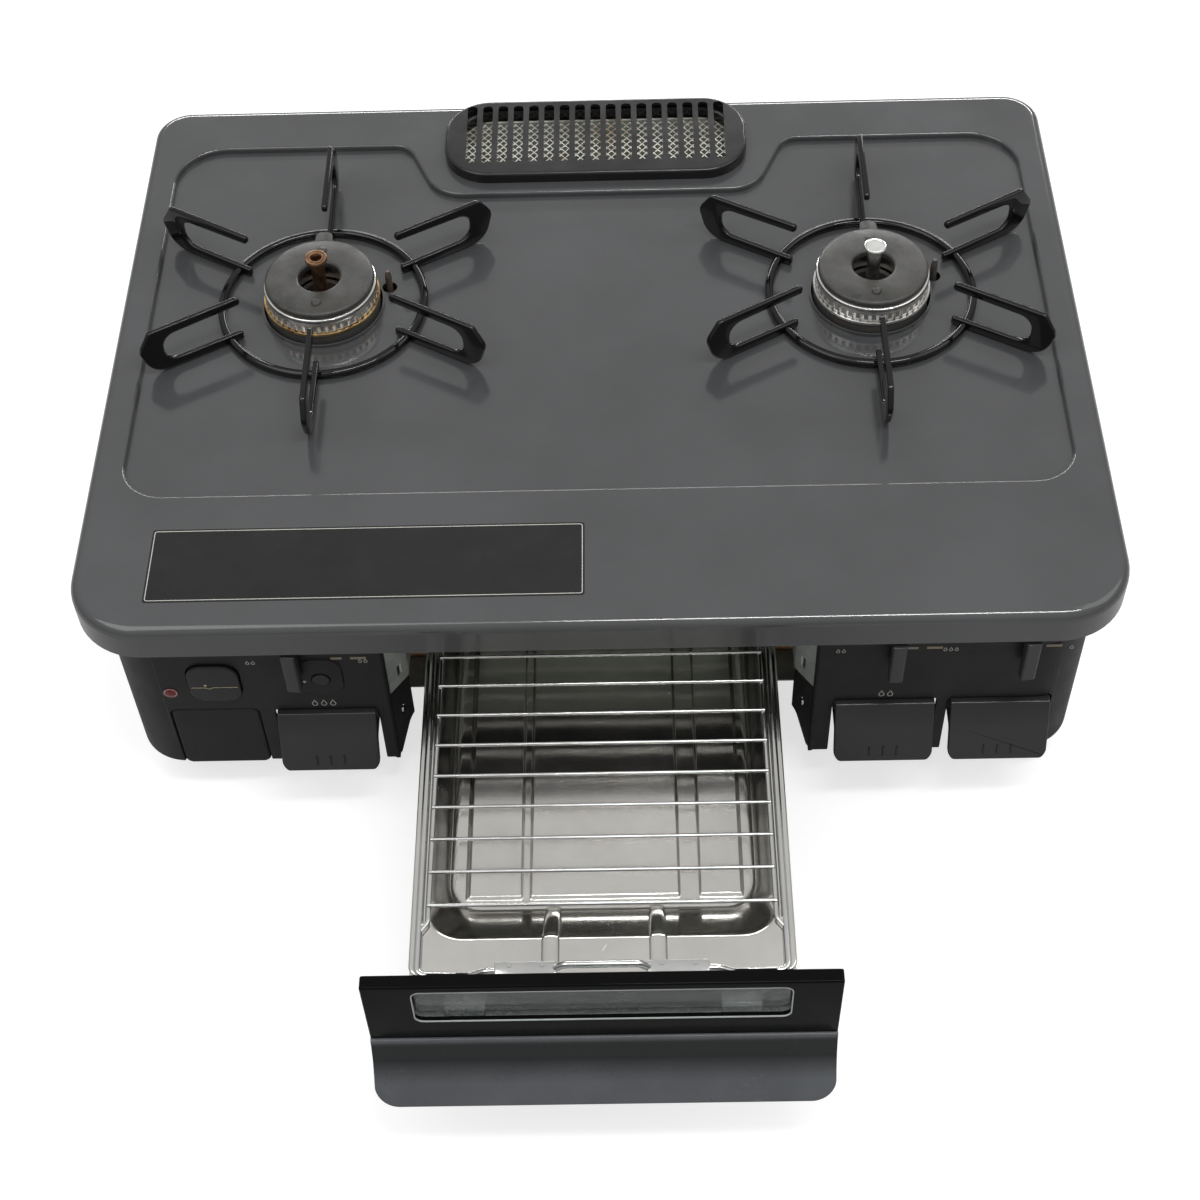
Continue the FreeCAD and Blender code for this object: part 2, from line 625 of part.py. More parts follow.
# Exhaust cover: a slotted lid over the island, with a skirt in the plate's opening
def make_exhaust_cover():
    body = new_body("exhaust_cover")
    base = sketch(body, "XY", plate_top)
    box_outline(base, Size(0), cover_middle, cover_width, cover_depth, cover_round)
    pad(body, base, cover_rise)
    top = number(plate_top + cover_rise)
    round_edges(body, Size(2), lambda edge: edge.BoundBox.ZMin > top - 0.01)
    hollow = sketch(body, "XY", plate_top)
    box_outline(hollow, Size(0), cover_middle, cover_width - 2 * cover_wall,
                cover_depth - 2 * cover_wall, cover_round - cover_wall)
    pocket(body, hollow, cover_rise - cover_deck, 1)
    skirt = sketch(body, "XY", plate_top + cover_rise - cover_deck)
    width, depth = exhaust_hole_width - 2 * gap, exhaust_hole_depth - 2 * gap
    box_outline(skirt, Size(0), cover_middle, width, depth, 21.5)
    wall = skin * 1.5
    box_outline(skirt, Size(0), cover_middle, width - 2 * wall, depth - 2 * wall, 20)
    pad(body, skirt, cover_rise - cover_deck + cover_skirt, -1)
    slot = sketch(body, "XY", plate_top + cover_rise)
    first = -slot_pitch * (cover_slots - 1) / 2
    box_outline(slot, first, slot_middle, slot_width, slot_length, slot_width / 2 - 0.4)
    cut = pocket(body, slot, cover_deck + 0.5)
    row_pattern(body, cut, slot, "H_Axis", slot_pitch, cover_slots)
    keep(body)


def make_exhaust_mesh():
    """A flat sheet with rows of lozenge openings, every second row shifted by half an opening."""
    left, right = -duct_width / 2, duct_width / 2
    front, low = chamber_back, duct_top
    sheet_face = Part.Face(Part.makePolygon([
        Vector(number(left), number(front), number(low)), Vector(number(right), number(front), number(low)),
        Vector(number(right), number(front + mesh_depth), number(low)),
        Vector(number(left), number(front + mesh_depth), number(low)),
        Vector(number(left), number(front), number(low))]))
    step_x, step_y = number(mesh_cell_x), number(mesh_cell_y)
    half_x, half_y = (step_x - number(mesh_strand)) / 2, step_y - number(mesh_strand) * 1.2
    columns = int((number(duct_width) - 12) / step_x)
    rows = int((number(mesh_depth) - half_y - 4) / step_y)
    openings = []
    for row in range(rows):
        shift = step_x / 2 if row % 2 else 0
        for column in range(columns - row % 2):
            x = (column - (columns - 1) / 2) * step_x + shift
            y = number(front) + 4 + half_y / 2 + row * step_y
            rim = [Vector(x - half_x, y, number(low)), Vector(x, y - half_y / 2, number(low)),
                   Vector(x + half_x, y, number(low)), Vector(x, y + half_y / 2, number(low))]
            openings.append(Part.Face(Part.makePolygon(rim + rim[:1])))
    holed = sheet_face.cut(openings)
    keep(shape_piece("exhaust_mesh", holed.extrude(Vector(0, 0, number(skin))).Solids[0]))


# Casing: two side panels, a rear panel, a bottom plate and four feet
def make_side_panel(name, side):
    body = new_body(name)
    drawn = sketch(body, "XZ", -body_front)
    out, low, high = body_width / 2, base_level + skin, plate_top - skin
    corners = [(out, low), (out, high), (out - skin, high), (out - skin, low + skin),
               (out - 15, low + skin), (out - 15, low)]
    outline(drawn, [(side * x, z, 0) for x, z in corners])
    pad(body, drawn, body_front + body_back - skin, 1)
    vent = sketch(body, "YZ", side * out)
    box_outline(vent, Size(60), plate_top - 60, vent_width, vent_length, vent_width / 2 - 0.2)
    cut = pocket(body, vent, skin * 3, -side)
    row_pattern(body, cut, vent, "H_Axis", vent_pitch, Size(3))
    keep(body)


def make_rear_panel():
    body = new_body("rear_panel")
    drawn = sketch(body, "XZ", body_back - skin)
    half = body_width / 2
    span_outline(drawn, -half, half, base_level + skin, plate_top - skin)
    pad(body, drawn, skin, 1)
    hole = sketch(body, "XZ", body_back - skin)
    circle(hole, pipe_right, inlet_level, inlet_dia * 2 + 6)
    pocket(body, hole, skin * 3, 1)
    for first in (-200, 120):
        vent = sketch(body, "XZ", body_back - skin)
        box_outline(vent, Size(first), plate_top - 50, vent_width, vent_length * 0.6, vent_width / 2 - 0.2)
        cut = pocket(body, vent, skin * 3, 1)
        row_pattern(body, cut, vent, "H_Axis", vent_pitch / 2, Size(5))
    keep(body)


def make_bottom_plate():
    body = new_body("bottom_plate")
    drawn = sketch(body, "XY", base_level)
    half = body_width / 2
    span_outline(drawn, -half, half, -base_front, body_back)
    pad(body, drawn, skin)
    for side in (-1, 1):
        vent = sketch(body, "XY", base_level)
        box_outline(vent, side * Size(175), Size(-70), vent_length, vent_width, vent_width / 2 - 0.2)
        cut = pocket(body, vent, skin * 3, 1)
        row_pattern(body, cut, vent, "V_Axis", vent_pitch, Size(5))
    keep(body)


def make_feet():
    foot = doc.addObject("Part::Cone", "foot_shape")
    bind(foot, "Radius1", foot_dia / 2 - 2)
    bind(foot, "Radius2", foot_dia / 2)
    bind(foot, "Height", base_level)
    doc.recompute()
    feet = []
    for side in (-1, 1):
        for along in (-foot_front, foot_back):
            spot = Vector(side * number(foot_spread) / 2, number(along), 0)
            feet.append(foot.Shape.translated(spot))
    keep(shape_piece("feet", Part.makeCompound(feet)))


# Front panels: moulded shells beside the grill door, with the controls' openings
def make_front_panel(name, side, notches, slots):
    body = new_body(name)
    low, high = plate_top - panel_bottom, plate_top - panel_top_gap
    out, near = body_width / 2, panel_gap / 2
    face, back = -panel_face, -body_front - gap
    shell = sketch(body, "XY", low)
    outline(shell, [(side * out, back, 0), (side * out, face, panel_round),
                    (side * near, face, 2), (side * near, back, 0)])
    pad(body, shell, high - low)
    bottom = number(low)

    def outer_bottom(edge):
        box = edge.BoundBox
        return box.ZMax < bottom + 0.01 and box.YMin < number(back) - 0.5 and box.YMax < number(back) + 0.01 \
            and abs(edge.CenterOfMass.x) > number(near) + 0.5

    round_edges(body, Size(4), outer_bottom)
    hollow = sketch(body, "XY", low + panel_wall)
    wall = panel_wall
    outline(hollow, [(side * (out - wall), back + 2, 0), (side * (out - wall), face + wall, panel_round - wall),
                     (side * (near - 2), face + wall, 0), (side * (near - 2), back + 2, 0)])
    pocket(body, hollow, high - low, 1)
    flare, deep = face + 4.2, face + ear_depth
    edge = sketch(body, "XY", low)
    span_outline(edge, *sorted([side * near, side * (near + wall)], key=number), face + 1, flare)
    pad(body, edge, high - low)
    ear = sketch(body, "XY", low)
    outline(ear, [(side * near, flare - 1, 0), (side * near, flare, 0), (side * (near - ear_lean), deep, 0),
                  (side * (near - ear_lean + wall), deep, 0), (side * (near + wall), flare, 0),
                  (side * (near + wall), flare - 1, 0)])
    pad(body, ear, panel_bottom - ear_top)
    heel = sketch(body, "YZ", side * (near - ear_lean - 1))
    outline(heel, [(flare + 1, low - 1, 0), (deep + 1, low - 1, 0), (deep + 1, plate_top - ear_screw - 12, 0),
                   (deep - 3, plate_top - ear_screw - 14, 9)])
    pocket(body, heel, ear_lean + wall + 3, side)
    pin = sketch(body, "YZ", side * (near - ear_lean - 1))
    y, z, half = (flare + deep) / 2, plate_top - ear_screw, ear_hole / 2
    outline(pin, [(y - half * 0.6, z, 0), (y, z - half, 0), (y + half * 0.6, z, 0), (y, z + half, 0)])
    pocket(body, pin, ear_lean / 2 + 2, side)
    for middle in notches:
        notch = sketch(body, "XZ", face)
        half_width = button_width / 2 + button_slack
        top = plate_top - button_top + button_slack
        span_outline(notch, middle - half_width, middle + half_width, low - 5, top, 3)
        pocket(body, notch, panel_wall * 3 + 25, 1)
    for middle in slots:
        slot = sketch(body, "XZ", face)
        level = plate_top - lever_level - lever_thick / 2
        box_outline(slot, middle, level, lever_slot, lever_thick * 2, 1)
        pocket(body, slot, panel_wall * 3, 1)
    return body


def make_left_panel():
    body = make_front_panel("left_front_panel", -1, [-left_button_x], [-left_button_x])
    face = -panel_face
    raised = sketch(body, "XZ", face)
    box_outline(raised, -heat_x, plate_top - heat_level + 2, pad_width, pad_height, 9)
    pad(body, raised, Size(1), -1)
    controls = sketch(body, "XZ", face - 2)
    circle(controls, -heat_x, plate_top - heat_level, heat_dia + 2 * gap)
    circle(controls, -lamp_x, plate_top - lamp_level, lamp_dia + 2 * gap)
    box_outline(controls, -mode_x, plate_top - mode_level, mode_width + 2 * gap, mode_height + 2 * gap, 9)
    pocket(body, controls, panel_wall + 3, 1)
    door = sketch(body, "XZ", face)
    half = lid_width / 2 + gap
    span_outline(door, -cell_x - half, -cell_x + half, plate_top - panel_bottom - 10, plate_top - lid_top + gap, 5)
    pocket(body, door, panel_wall + 30, 1)
    keep(body)


def make_right_panel():
    keep(make_front_panel("right_front_panel", 1, [right_button_x, grill_button_x],
                          [right_button_x, grill_button_x]))


# Galvanised plates between the front panels and the grill chamber
def make_inner_plate(name, side):
    body = new_body(name)
    near = panel_gap / 2
    low, high = plate_top - ear_top, plate_top - panel_top_gap
    bend = sketch(body, "XY", low)
    wall, narrow = chamber_width / 2, near - ear_lean
    flare, deep, back = -panel_face + 4.2 + gap, -panel_face + ear_depth + gap, -chamber_front
    outline(bend, [(side * near, flare, 0), (side * narrow, deep, 0), (side * narrow, back, 0), (side * wall, back, 0),
                   (side * wall, back - skin, 0), (side * (narrow + skin), back - skin, 0),
                   (side * (narrow + skin), deep + 0.3, 0), (side * (near + skin * 1.2), flare, 0)])
    pad(body, bend, high - low)
    slots = sketch(body, "YZ", side * (narrow - 1))
    for z in (low + 12, low + 56):
        box_outline(slots, (flare + deep) / 2 + 1, z, Size(3), Size(9))
    pocket(body, slots, ear_lean + 4, side)
    above = sketch(body, "XZ", back - skin)
    span_outline(above, *sorted([side * (narrow + skin + 0.01), side * (wall + 1)], key=number), chamber_top + skin, high + 1)
    pocket(body, above, skin, 1)
    keep(body)


# Burners: cast body with its mixing tube, slotted ring, cap, and the sensor in the middle
def make_burner_body(name, side):
    body = new_body(name)
    x, y = side * burner_x, burner_y
    low, rim, step = plate_top - cup_drop, plate_top + cup_rim, plate_top - 44
    out, below, bore, wall = cup_dia / 2, cup_low_dia / 2, throat_dia / 2, cup_wall
    turned(body, [(bore, low, 0), (below, low, 3), (below, step, 0), (out, step + 30, 0), (out, rim, 0),
                  (out - wall, rim, 0), (out - wall, step + 31, 0), (below - wall, step + 1, 0),
                  (below - wall, low + wall, 0), (bore + wall, low + wall, 0), (bore + wall, rim, 0),
                  (bore, rim, 0)], x, y)
    level = plate_top - tube_level
    tube = sketch(body, "XZ", -tube_front)
    circle(tube, x, level, tube_dia)
    pad(body, tube, burner_y - below + wall + tube_front, 1)
    mouth = sketch(body, "XZ", -tube_front)
    circle(mouth, x, level, tube_dia + 6)
    pad(body, mouth, Size(5), 1)
    bore_sketch = sketch(body, "XZ", -tube_front)
    circle(bore_sketch, x, level, tube_dia - 2 * wall)
    pocket(body, bore_sketch, burner_y - below + wall + 0.4 + tube_front, 1)
    spokes = sketch(body, "XY", low)
    box_outline(spokes, x, y, throat_dia + 2, Size(2.4))
    pad(body, spokes, Size(14))
    sleeve = sketch(body, "XY", low - 4)
    circle(sleeve, x, y, sleeve_dia)
    pad(body, sleeve, plate_top - sleeve_top - low + 4)
    guide = sketch(body, "XY", low - 2)
    circle(guide, x, y, sleeve_bore)
    pocket(body, guide, plate_top - low, 1)
    lugs = sketch(body, "XY", plate_top - lug_level)
    reach = electrode_ring + electrode_dia / 2 + 2
    half = electrode_dia / 2 + 2
    span_outline(lugs, x - half, x + half, y + below - 1, y + reach)
    turn = math.radians(number(couple_turn))
    for_couple = sketch(body, "XY", plate_top - lug_level)
    flat, thin = number(below) - 1, number(couple_dia) / 2 + 1.8
    far = number(electrode_ring) + thin
    corners = []
    for along, across in ((flat, -thin), (far, -thin), (far, thin), (flat, thin)):
        corners.append((x + along * math.cos(turn) - across * math.sin(turn),
                        y + along * math.sin(turn) + across * math.cos(turn), 0))
    outline(for_couple, corners)
    pad(body, lugs, Size(3))
    pad(body, for_couple, Size(3))
    lug_holes = sketch(body, "XY", plate_top - lug_level)
    circle(lug_holes, x, y + electrode_ring, electrode_dia + gap)
    across, along = couple_place(side)
    circle(lug_holes, across, along, couple_dia + gap)
    pocket(body, lug_holes, Size(5), 1)
    legs = sketch(body, "XY", base_level + skin)
    box_outline(legs, x, Size(-60), Size(18), Size(3))
    pad(body, legs, level - tube_dia / 2 - base_level - skin + 1)
    post = sketch(body, "XY", base_level + skin)
    box_outline(post, x, burner_y + below - 6, Size(18), Size(3))
    pad(body, post, low - base_level - skin + 1)
    keep(body)


def make_burner_ring(name, side):
    body = new_body(name)
    x, low = side * burner_x, plate_top + cup_rim
    high, out, bore = low + ring_height, ring_dia / 2, ring_bore / 2
    turned(body, [(bore, low, 0), (bore + 2, low, 0), (bore + 2, high - 2, 0), (out - 3, high - 2, 0),
                  (out - 3, low, 0), (out, low, 0), (out, high - 2, 0), (out - 1, high, 0), (bore, high, 0)],
           x, burner_y)
    slot = sketch(body, "YZ", x + out - 5)
    box_outline(slot, burner_y, low + ring_height * 0.36, ring_slot, ring_height * 0.5)
    cut = pocket(body, slot, Size(8), 1)
    axis = sketch(body, "XZ", burner_y)
    line = axis.addGeometry(Part.LineSegment(Vector(number(x), 0, 0), Vector(number(x), 10, 0)), True)
    axis.addConstraint(Sketcher.Constraint("Vertical", line))
    hold_point(axis, line, 1, x, Size(0))
    doc.recompute()
    ring_pattern(body, cut, axis, ring_slots)
    keep(body)


def make_burner_cap(name, side):
    body = new_body(name)
    x, low = side * burner_x, plate_top + cup_rim + ring_height
    high, out, bore = low + cap_height, cap_dia / 2, cap_hole / 2
    turned(body, [(bore, low, 0), (out, low, 0), (out, high - 1.4, 0), (out - 1.4, high, 0), (bore + 0.8, high, 0),
                  (bore, high - 0.8, 0)], x, burner_y)
    bumps = sketch(body, "XY", high)
    for along in (-1, 1):
        circle(bumps, x, burner_y + along * (cap_hole / 2 + out) / 2, cap_bump)
    pad(body, bumps, Size(1))
    tab = sketch(body, "XY", low)
    span_outline(tab, x - 6, x + 6, burner_y + out - 3, burner_y + out + 8, 4)
    pad(body, tab, Size(2))
    keep(body)


def make_sensor(name, side, head_height, head_well):
    body = new_body(name)
    top, head, stem = plate_top + sensor_top, sensor_head_dia / 2, sensor_dia / 2
    foot = plate_top - sensor_foot
    well = head_well
    turned(body, [(0.8, foot, 0), (stem, foot, 0), (stem, top - head_height, 0), (head, top - head_height + 1.5, 0),
                  (head, top - 0.6, 0), (head - 0.6, top, 0), (2.6, top, 0), (2.6, top - well, 0),
                  (0.8, top - well, 0)], side * burner_x, burner_y)
    keep(body)


def make_sensor_spring(name, side):
    low, high = plate_top - cup_drop - 2, plate_top - sensor_foot
    x = side * burner_x
    outer = rod(x, burner_y, low, sleeve_bore - 2 * gap, high - low, Vector(0, 0, 1))
    inner = rod(x, burner_y, low, sleeve_bore - 2 * gap - 2, high - low, Vector(0, 0, 1))
    keep(shape_piece(name, outer.cut(inner)))


def make_electrode(name, side):
    body = new_body(name)
    x, y, lug = side * burner_x, burner_y + electrode_ring, plate_top - lug_level + 3
    radius, tip = electrode_dia / 2, plate_top + 8
    turned(body, [(0.01, lug - 20, 0), (radius, lug - 20, 0), (radius, lug, 0), (radius + 1.2, lug, 0),
                  (radius + 1.2, lug + 3, 0), (radius, lug + 3, 0), (radius, plate_top - 2, 0), (1.1, plate_top, 0),
                  (1.1, tip, 0), (0.01, tip, 0)], x, y)
    keep(body)


def make_thermocouple(name, side):
    body = new_body(name)
    across, along = couple_place(side)
    lug, radius, tip = plate_top - lug_level + 3, couple_dia / 2, plate_top + 9
    turned(body, [(0.01, lug - 24, 0), (radius, lug - 24, 0), (radius, lug, 0), (radius + 1.2, lug, 0),
                  (radius + 1.2, lug + 2, 0), (radius, lug + 2, 0), (radius, tip - 4, 0), (1.2, tip, 0),
                  (0.01, tip, 0)], across, along)
    keep(body)


# Trivet: a wire ring with six hairpin fingers cut from plate
def make_trivet(name, side):
    floor = number(plate_top - recess_drop)
    tall = number(trivet_top + recess_drop)
    out, tip, bar = number(finger_out), number(finger_in), number(finger_bar)
    ring_radius, end, thick = number(trivet_ring) / 2, number(finger_end), number(finger_thick)
    inner = ring_radius - number(trivet_wire) - 3
    profile = [(inner, 0.6, 1.4), (out - 6, 0.6, 14), (out, tall - 12, 7), (out - 8, tall, 4), (tip, tall, 1.6),
               (tip, tall - bar, 1.6), (out - end, tall - bar - 1, 8), (out - end, bar + 1.4, 8), (inner, bar + 0.8, 1.4)]
    places = [Vector(r, 0, z) for r, z, rounding in profile]
    finger = rounded_face(places, [rounding for r, z, rounding in profile])
    finger = finger.extrude(Vector(0, thick, 0)).translated(Vector(0, -thick / 2, 0))
    ring = Part.makeTorus(ring_radius, number(trivet_wire) / 2, Vector(0, 0, number(trivet_wire) / 2))
    fingers = []
    for i in range(int(number(finger_count))):
        turned_finger = finger.copy()
        turned_finger.rotate(Vector(0, 0, 0), Vector(0, 0, 1), 90 + i * 360 / number(finger_count))
        fingers.append(turned_finger)
    whole = ring.fuse(fingers).removeSplitter()
    place = Vector(side * number(burner_x), number(burner_y), floor)
    keep(shape_piece(name, whole.Solids[0].translated(place)))


def rounded_face(places, roundings):
    """A flat face in the XZ plane whose corners are rounded by arcs."""
    flat = [Vector(p.x, p.z, 0) for p in places]
    count = len(flat)
    ends = []
    for i, rounding in enumerate(roundings):
        ends.append(rounded_corner(flat[i - 1], flat[i], flat[(i + 1) % count], rounding))
    edges = []
    for i in range(count):
        start, end, centre, left_turn = ends[i]
        middle = centre + (flat[i] - centre).normalize() * roundings[i]
        edges.append(Part.Arc(start, middle, end).toShape())
        edges.append(Part.LineSegment(end, ends[(i + 1) % count][0]).toShape())
    face = Part.Face(Part.Wire(Part.__sortEdges__(edges)))
    face.rotate(Vector(0, 0, 0), Vector(1, 0, 0), 90)
    return face


# Gas valves, pipe, inlet and igniter
def make_valve(name, x, nozzle_x):
    body = new_body(name)
    low, high = plate_top - valve_top - valve_height, plate_top - valve_top
    block = sketch(body, "XY", low)
    span_outline(block, x - valve_width / 2, x + valve_width / 2, -valve_front, -valve_back, 3)
    pad(body, block, valve_height)
    riser = sketch(body, "XY", pipe_level + pipe_dia / 2)
    circle(riser, x, -pipe_y, pipe_dia + 2)
    pad(body, riser, low - pipe_level - pipe_dia / 2 + 1)
    leg = sketch(body, "XY", base_level + skin)
    span_outline(leg, x - 6, x + 6, -valve_back - 3, -valve_back)
    pad(body, leg, low - base_level - skin + 1)
    post = sketch(body, "XY", high - 1)
    circle(post, x, -lever_pivot, Size(11))
    arm_low = plate_top - lever_level - lever_thick
    pad(body, post, arm_low - gap - high + 1)
    pin = sketch(body, "XY", arm_low - gap - 1)
    circle(pin, x, -lever_pivot, lever_pin)
    pad(body, pin, lever_thick + 4)
    bore = sketch(body, "XZ", -valve_front)
    circle(bore, x, plate_top - stem_level, stem_dia + 2 * gap)
    pocket(body, bore, button_travel + 8, 1)
    if nozzle_x is not None:
        neck = sketch(body, "XY", high - 1)
        span_outline(neck, x - 12, x + 12, -valve_back - 12, -valve_back, 2)
        pad(body, neck, plate_top - tube_level + 7 - high + 1)
        nozzle = sketch(body, "XZ", -valve_back - 1)
        circle(nozzle, nozzle_x, plate_top - tube_level, Size(7))
        pad(body, nozzle, valve_back - tube_front + 5, 1)
    else:
        neck = sketch(body, "XY", high - 1)
        span_outline(neck, x - 5, x + 8, -grill_tube_y - 7, -grill_tube_y + 7, 2)
        pad(body, neck, chamber_top - 5 - high + 1)
        nozzle = sketch(body, "YZ", x - 4)
        circle(nozzle, -grill_tube_y, chamber_top - 13, Size(5))
        pad(body, nozzle, Size(8), -1)
    keep(body)


def swept_pipe(points, bend, dia, wall):
    """A pipe along straight runs joined by round bends."""
    places = [Vector(*[number(value) for value in point]) for point in points]
    edges, last = [], places[0]
    for i in range(1, len(places) - 1):
        before = (places[i - 1] - places[i]).normalize()
        after = (places[i + 1] - places[i]).normalize()
        half = before.getAngle(after) / 2
        reach = bend / math.tan(half)
        centre = places[i] + (before + after).normalize() * (bend / math.sin(half))
        start, end = places[i] + before * reach, places[i] + after * reach
        middle = centre + (places[i] - centre).normalize() * bend
        edges.append(Part.LineSegment(last, start).toShape())
        edges.append(Part.Arc(start, middle, end).toShape())
        last = end
    edges.append(Part.LineSegment(last, places[-1]).toShape())
    path = Part.Wire(edges)
    along = (places[1] - places[0]).normalize()

    def swept(radius):
        ring = Part.Wire([Part.makeCircle(radius, places[0], along)])
        return path.makePipeShell([ring], True, False)

    return swept(dia / 2).cut(swept(dia / 2 - wall)) if wall else swept(dia / 2)


def make_gas_pipe():
    left = -left_button_x - 14
    points = [(left, -pipe_y, pipe_level), (pipe_right, -pipe_y, pipe_level),
              (pipe_right, -pipe_y, inlet_level), (pipe_right, Size(150), inlet_level)]
    keep(shape_piece("gas_pipe", swept_pipe(points, 14, number(pipe_dia), number(pipe_wall))))


def make_gas_inlet():
    body = new_body("gas_inlet")
    start = Size(150)
    nut = sketch(body, "XZ", start)
    circle(nut, pipe_right, inlet_level, pipe_dia + 8)
    pad(body, nut, Size(16), 1)
    stem = sketch(body, "XZ", start + 16)
    circle(stem, pipe_right, inlet_level, inlet_dia)
    pad(body, stem, inlet_end - start - 16, 1)
    bore = sketch(body, "XZ", inlet_end)
    circle(bore, pipe_right, inlet_level, inlet_dia - 4)
    pocket(body, bore, inlet_end - start - 1, -1)
    holder = sketch(body, "XY", base_level + skin)
    box_outline(holder, pipe_right, start + 8, Size(6), Size(12))
    pad(body, holder, inlet_level - base_level - skin - pipe_dia / 2 - 2)
    keep(body)


def make_igniter():
    body = new_body("igniter_unit")
    base = sketch(body, "XY", base_level + skin)
    span_outline(base, Size(-247), Size(-205), Size(60), Size(120), 3)
    pad(body, base, Size(30))
    top = sketch(body, "XY", base_level + skin + 30)
    for y in (72, 90, 108):
        circle(top, Size(-226), Size(y), Size(7))
    pad(body, top, Size(8))
    keep(body)


# Grill chamber: stepped side walls with runner ledges, floor, ceiling, burner and exhaust duct
def make_chamber_wall(name, side):
    body = new_body(name)
    drawn = sketch(body, "XZ", -chamber_front)
    wide, narrow = chamber_width / 2, chamber_low_width / 2
    corners = [(narrow - skin, chamber_floor), (narrow, chamber_floor), (narrow, runner_level - skin),
               (wide, runner_level - skin), (wide, chamber_top), (wide - skin, chamber_top),
               (wide - skin, runner_level), (narrow - skin, runner_level)]
    outline(drawn, [(side * x, z, 0) for x, z in corners])
    pad(body, drawn, chamber_front + chamber_back - skin, 1)
    flange = sketch(body, "XZ", -chamber_front)
    span_outline(flange, *sorted([side * mouth_half, side * (wide - skin / 2)], key=number), runner_level - skin, chamber_top)
    pad(body, flange, skin, 1)
    if side > 0:
        passage = sketch(body, "YZ", side * wide)
        circle(passage, -grill_tube_y, chamber_top - 13, Size(13))
        pocket(body, passage, skin * 3, -side)
    keep(body)


def make_chamber_floor():
    body = new_body("chamber_floor")
    drawn = sketch(body, "XZ", -chamber_front)
    half, leg, low, high = chamber_low_width / 2, Size(70), base_level + skin, chamber_floor
    outline(drawn, [(-half, high, 0), (-half, high - skin, 0), (-leg, high - skin, 0), (-leg, low, 0),
                    (skin - leg, low, 0), (skin - leg, high - skin, 0), (leg - skin, high - skin, 0),
                    (leg - skin, low, 0), (leg, low, 0), (leg, high - skin, 0), (half, high - skin, 0),
                    (half, high, 0)])
    pad(body, drawn, chamber_front + chamber_back - skin, 1)
    tunnel = sketch(body, "YZ", Size(90))
    span_outline(tunnel, -pipe_y - 8, -pipe_y + 8, low - 2, high - skin - 0.5, 2)
    pocket(body, tunnel, Size(180), -1)
    front = sketch(body, "YZ", Size(90))
    span_outline(front, -chamber_front - 1, -base_front, low - 2, high - skin - 0.5)
    pocket(body, front, Size(180), -1)
    keep(body)


def make_chamber_ceiling():
    body = new_body("chamber_ceiling")
    drawn = sketch(body, "XY", chamber_top)
    span_outline(drawn, -chamber_width / 2, chamber_width / 2, -chamber_front, chamber_back - skin)
    pad(body, drawn, skin)
    for middle in (-80, 0, 80):
        bead = sketch(body, "XY", chamber_top + skin)
        box_outline(bead, Size(middle), Size(70), Size(10), Size(60), 4)
        pad(body, bead, Size(1.5))
    keep(body)


def make_exhaust_duct():
    body = new_body("exhaust_duct")
    wall = sketch(body, "XZ", chamber_back - skin)
    wide, narrow = chamber_width / 2, chamber_low_width / 2
    outline(wall, [(-narrow, chamber_floor - skin, 0), (narrow, chamber_floor - skin, 0), (narrow, runner_level, 0),
                   (wide, runner_level, 0), (wide, chamber_top + skin, 0), (-wide, chamber_top + skin, 0),
                   (-wide, runner_level, 0), (-narrow, runner_level, 0)])
    pad(body, wall, skin, 1)
    box = sketch(body, "XY", duct_sill - skin)
    half = duct_width / 2
    span_outline(box, -half, half, chamber_back - 0.5, duct_back)
    pad(body, box, duct_top - duct_sill + skin)
    shaft = sketch(body, "XY", duct_sill)
    span_outline(shaft, skin - half, half - skin, chamber_back + skin, duct_back - skin)
    pocket(body, shaft, duct_top - duct_sill + 1, 1)
    mouth = sketch(body, "XZ", chamber_back + skin + 1)
    span_outline(mouth, skin - half, half - skin, duct_sill, chamber_top - 1)
    pocket(body, mouth, skin * 5, -1)
    keep(body)


def make_grill_burner():
    body = new_body("grill_burner")
    case = sketch(body, "XY", chamber_top - 19)
    span_outline(case, Size(-75), Size(75), -grill_tube_y - 10, Size(20), 8)
    pad(body, case, Size(19))
    flame = sketch(body, "XY", chamber_top - 19)
    span_outline(flame, Size(-60), Size(60), Size(-90), Size(8), 6)
    pocket(body, flame, Size(8), 1)
    tube = sketch(body, "YZ", Size(74))
    circle(tube, -grill_tube_y, chamber_top - 13, Size(12))
    pad(body, tube, grill_button_x - 74 - 6, 1)
    bore = sketch(body, "YZ", grill_button_x)
    circle(bore, -grill_tube_y, chamber_top - 13, Size(9))
    pocket(body, bore, Size(120), -1)
    keep(body)


# Press buttons, levers and small controls
def make_press_button(name, x):
    body = new_body(name)
    face, top = -panel_face, plate_top
    crest, lip, ridge = face - button_crest, top - button_lip, top - button_ridge
    far = face - button_reach
    side_view = sketch(body, "YZ", x - button_width / 2)
    outline(side_view, [(face + 10, top - button_top, 0), (face - 3, top - button_top, 1.2),
                        (crest, ridge, 2.5), (far, lip, 1), (far + button_shell, lip - 1.2, 0.8),
                        (crest + button_shell, ridge - 5, 3), (face + 10, ridge - 5, 0)])
    pad(body, side_view, button_width, 1)
    clip_corners(body, button_width, x, lip - 1.6, button_corner, far - 2, button_reach + 12)
    stem = sketch(body, "XZ", face + 9)
    circle(stem, x, top - stem_level, stem_dia)
    pad(body, stem, panel_face - valve_front - 9 + 4, 1)
    keep(body)


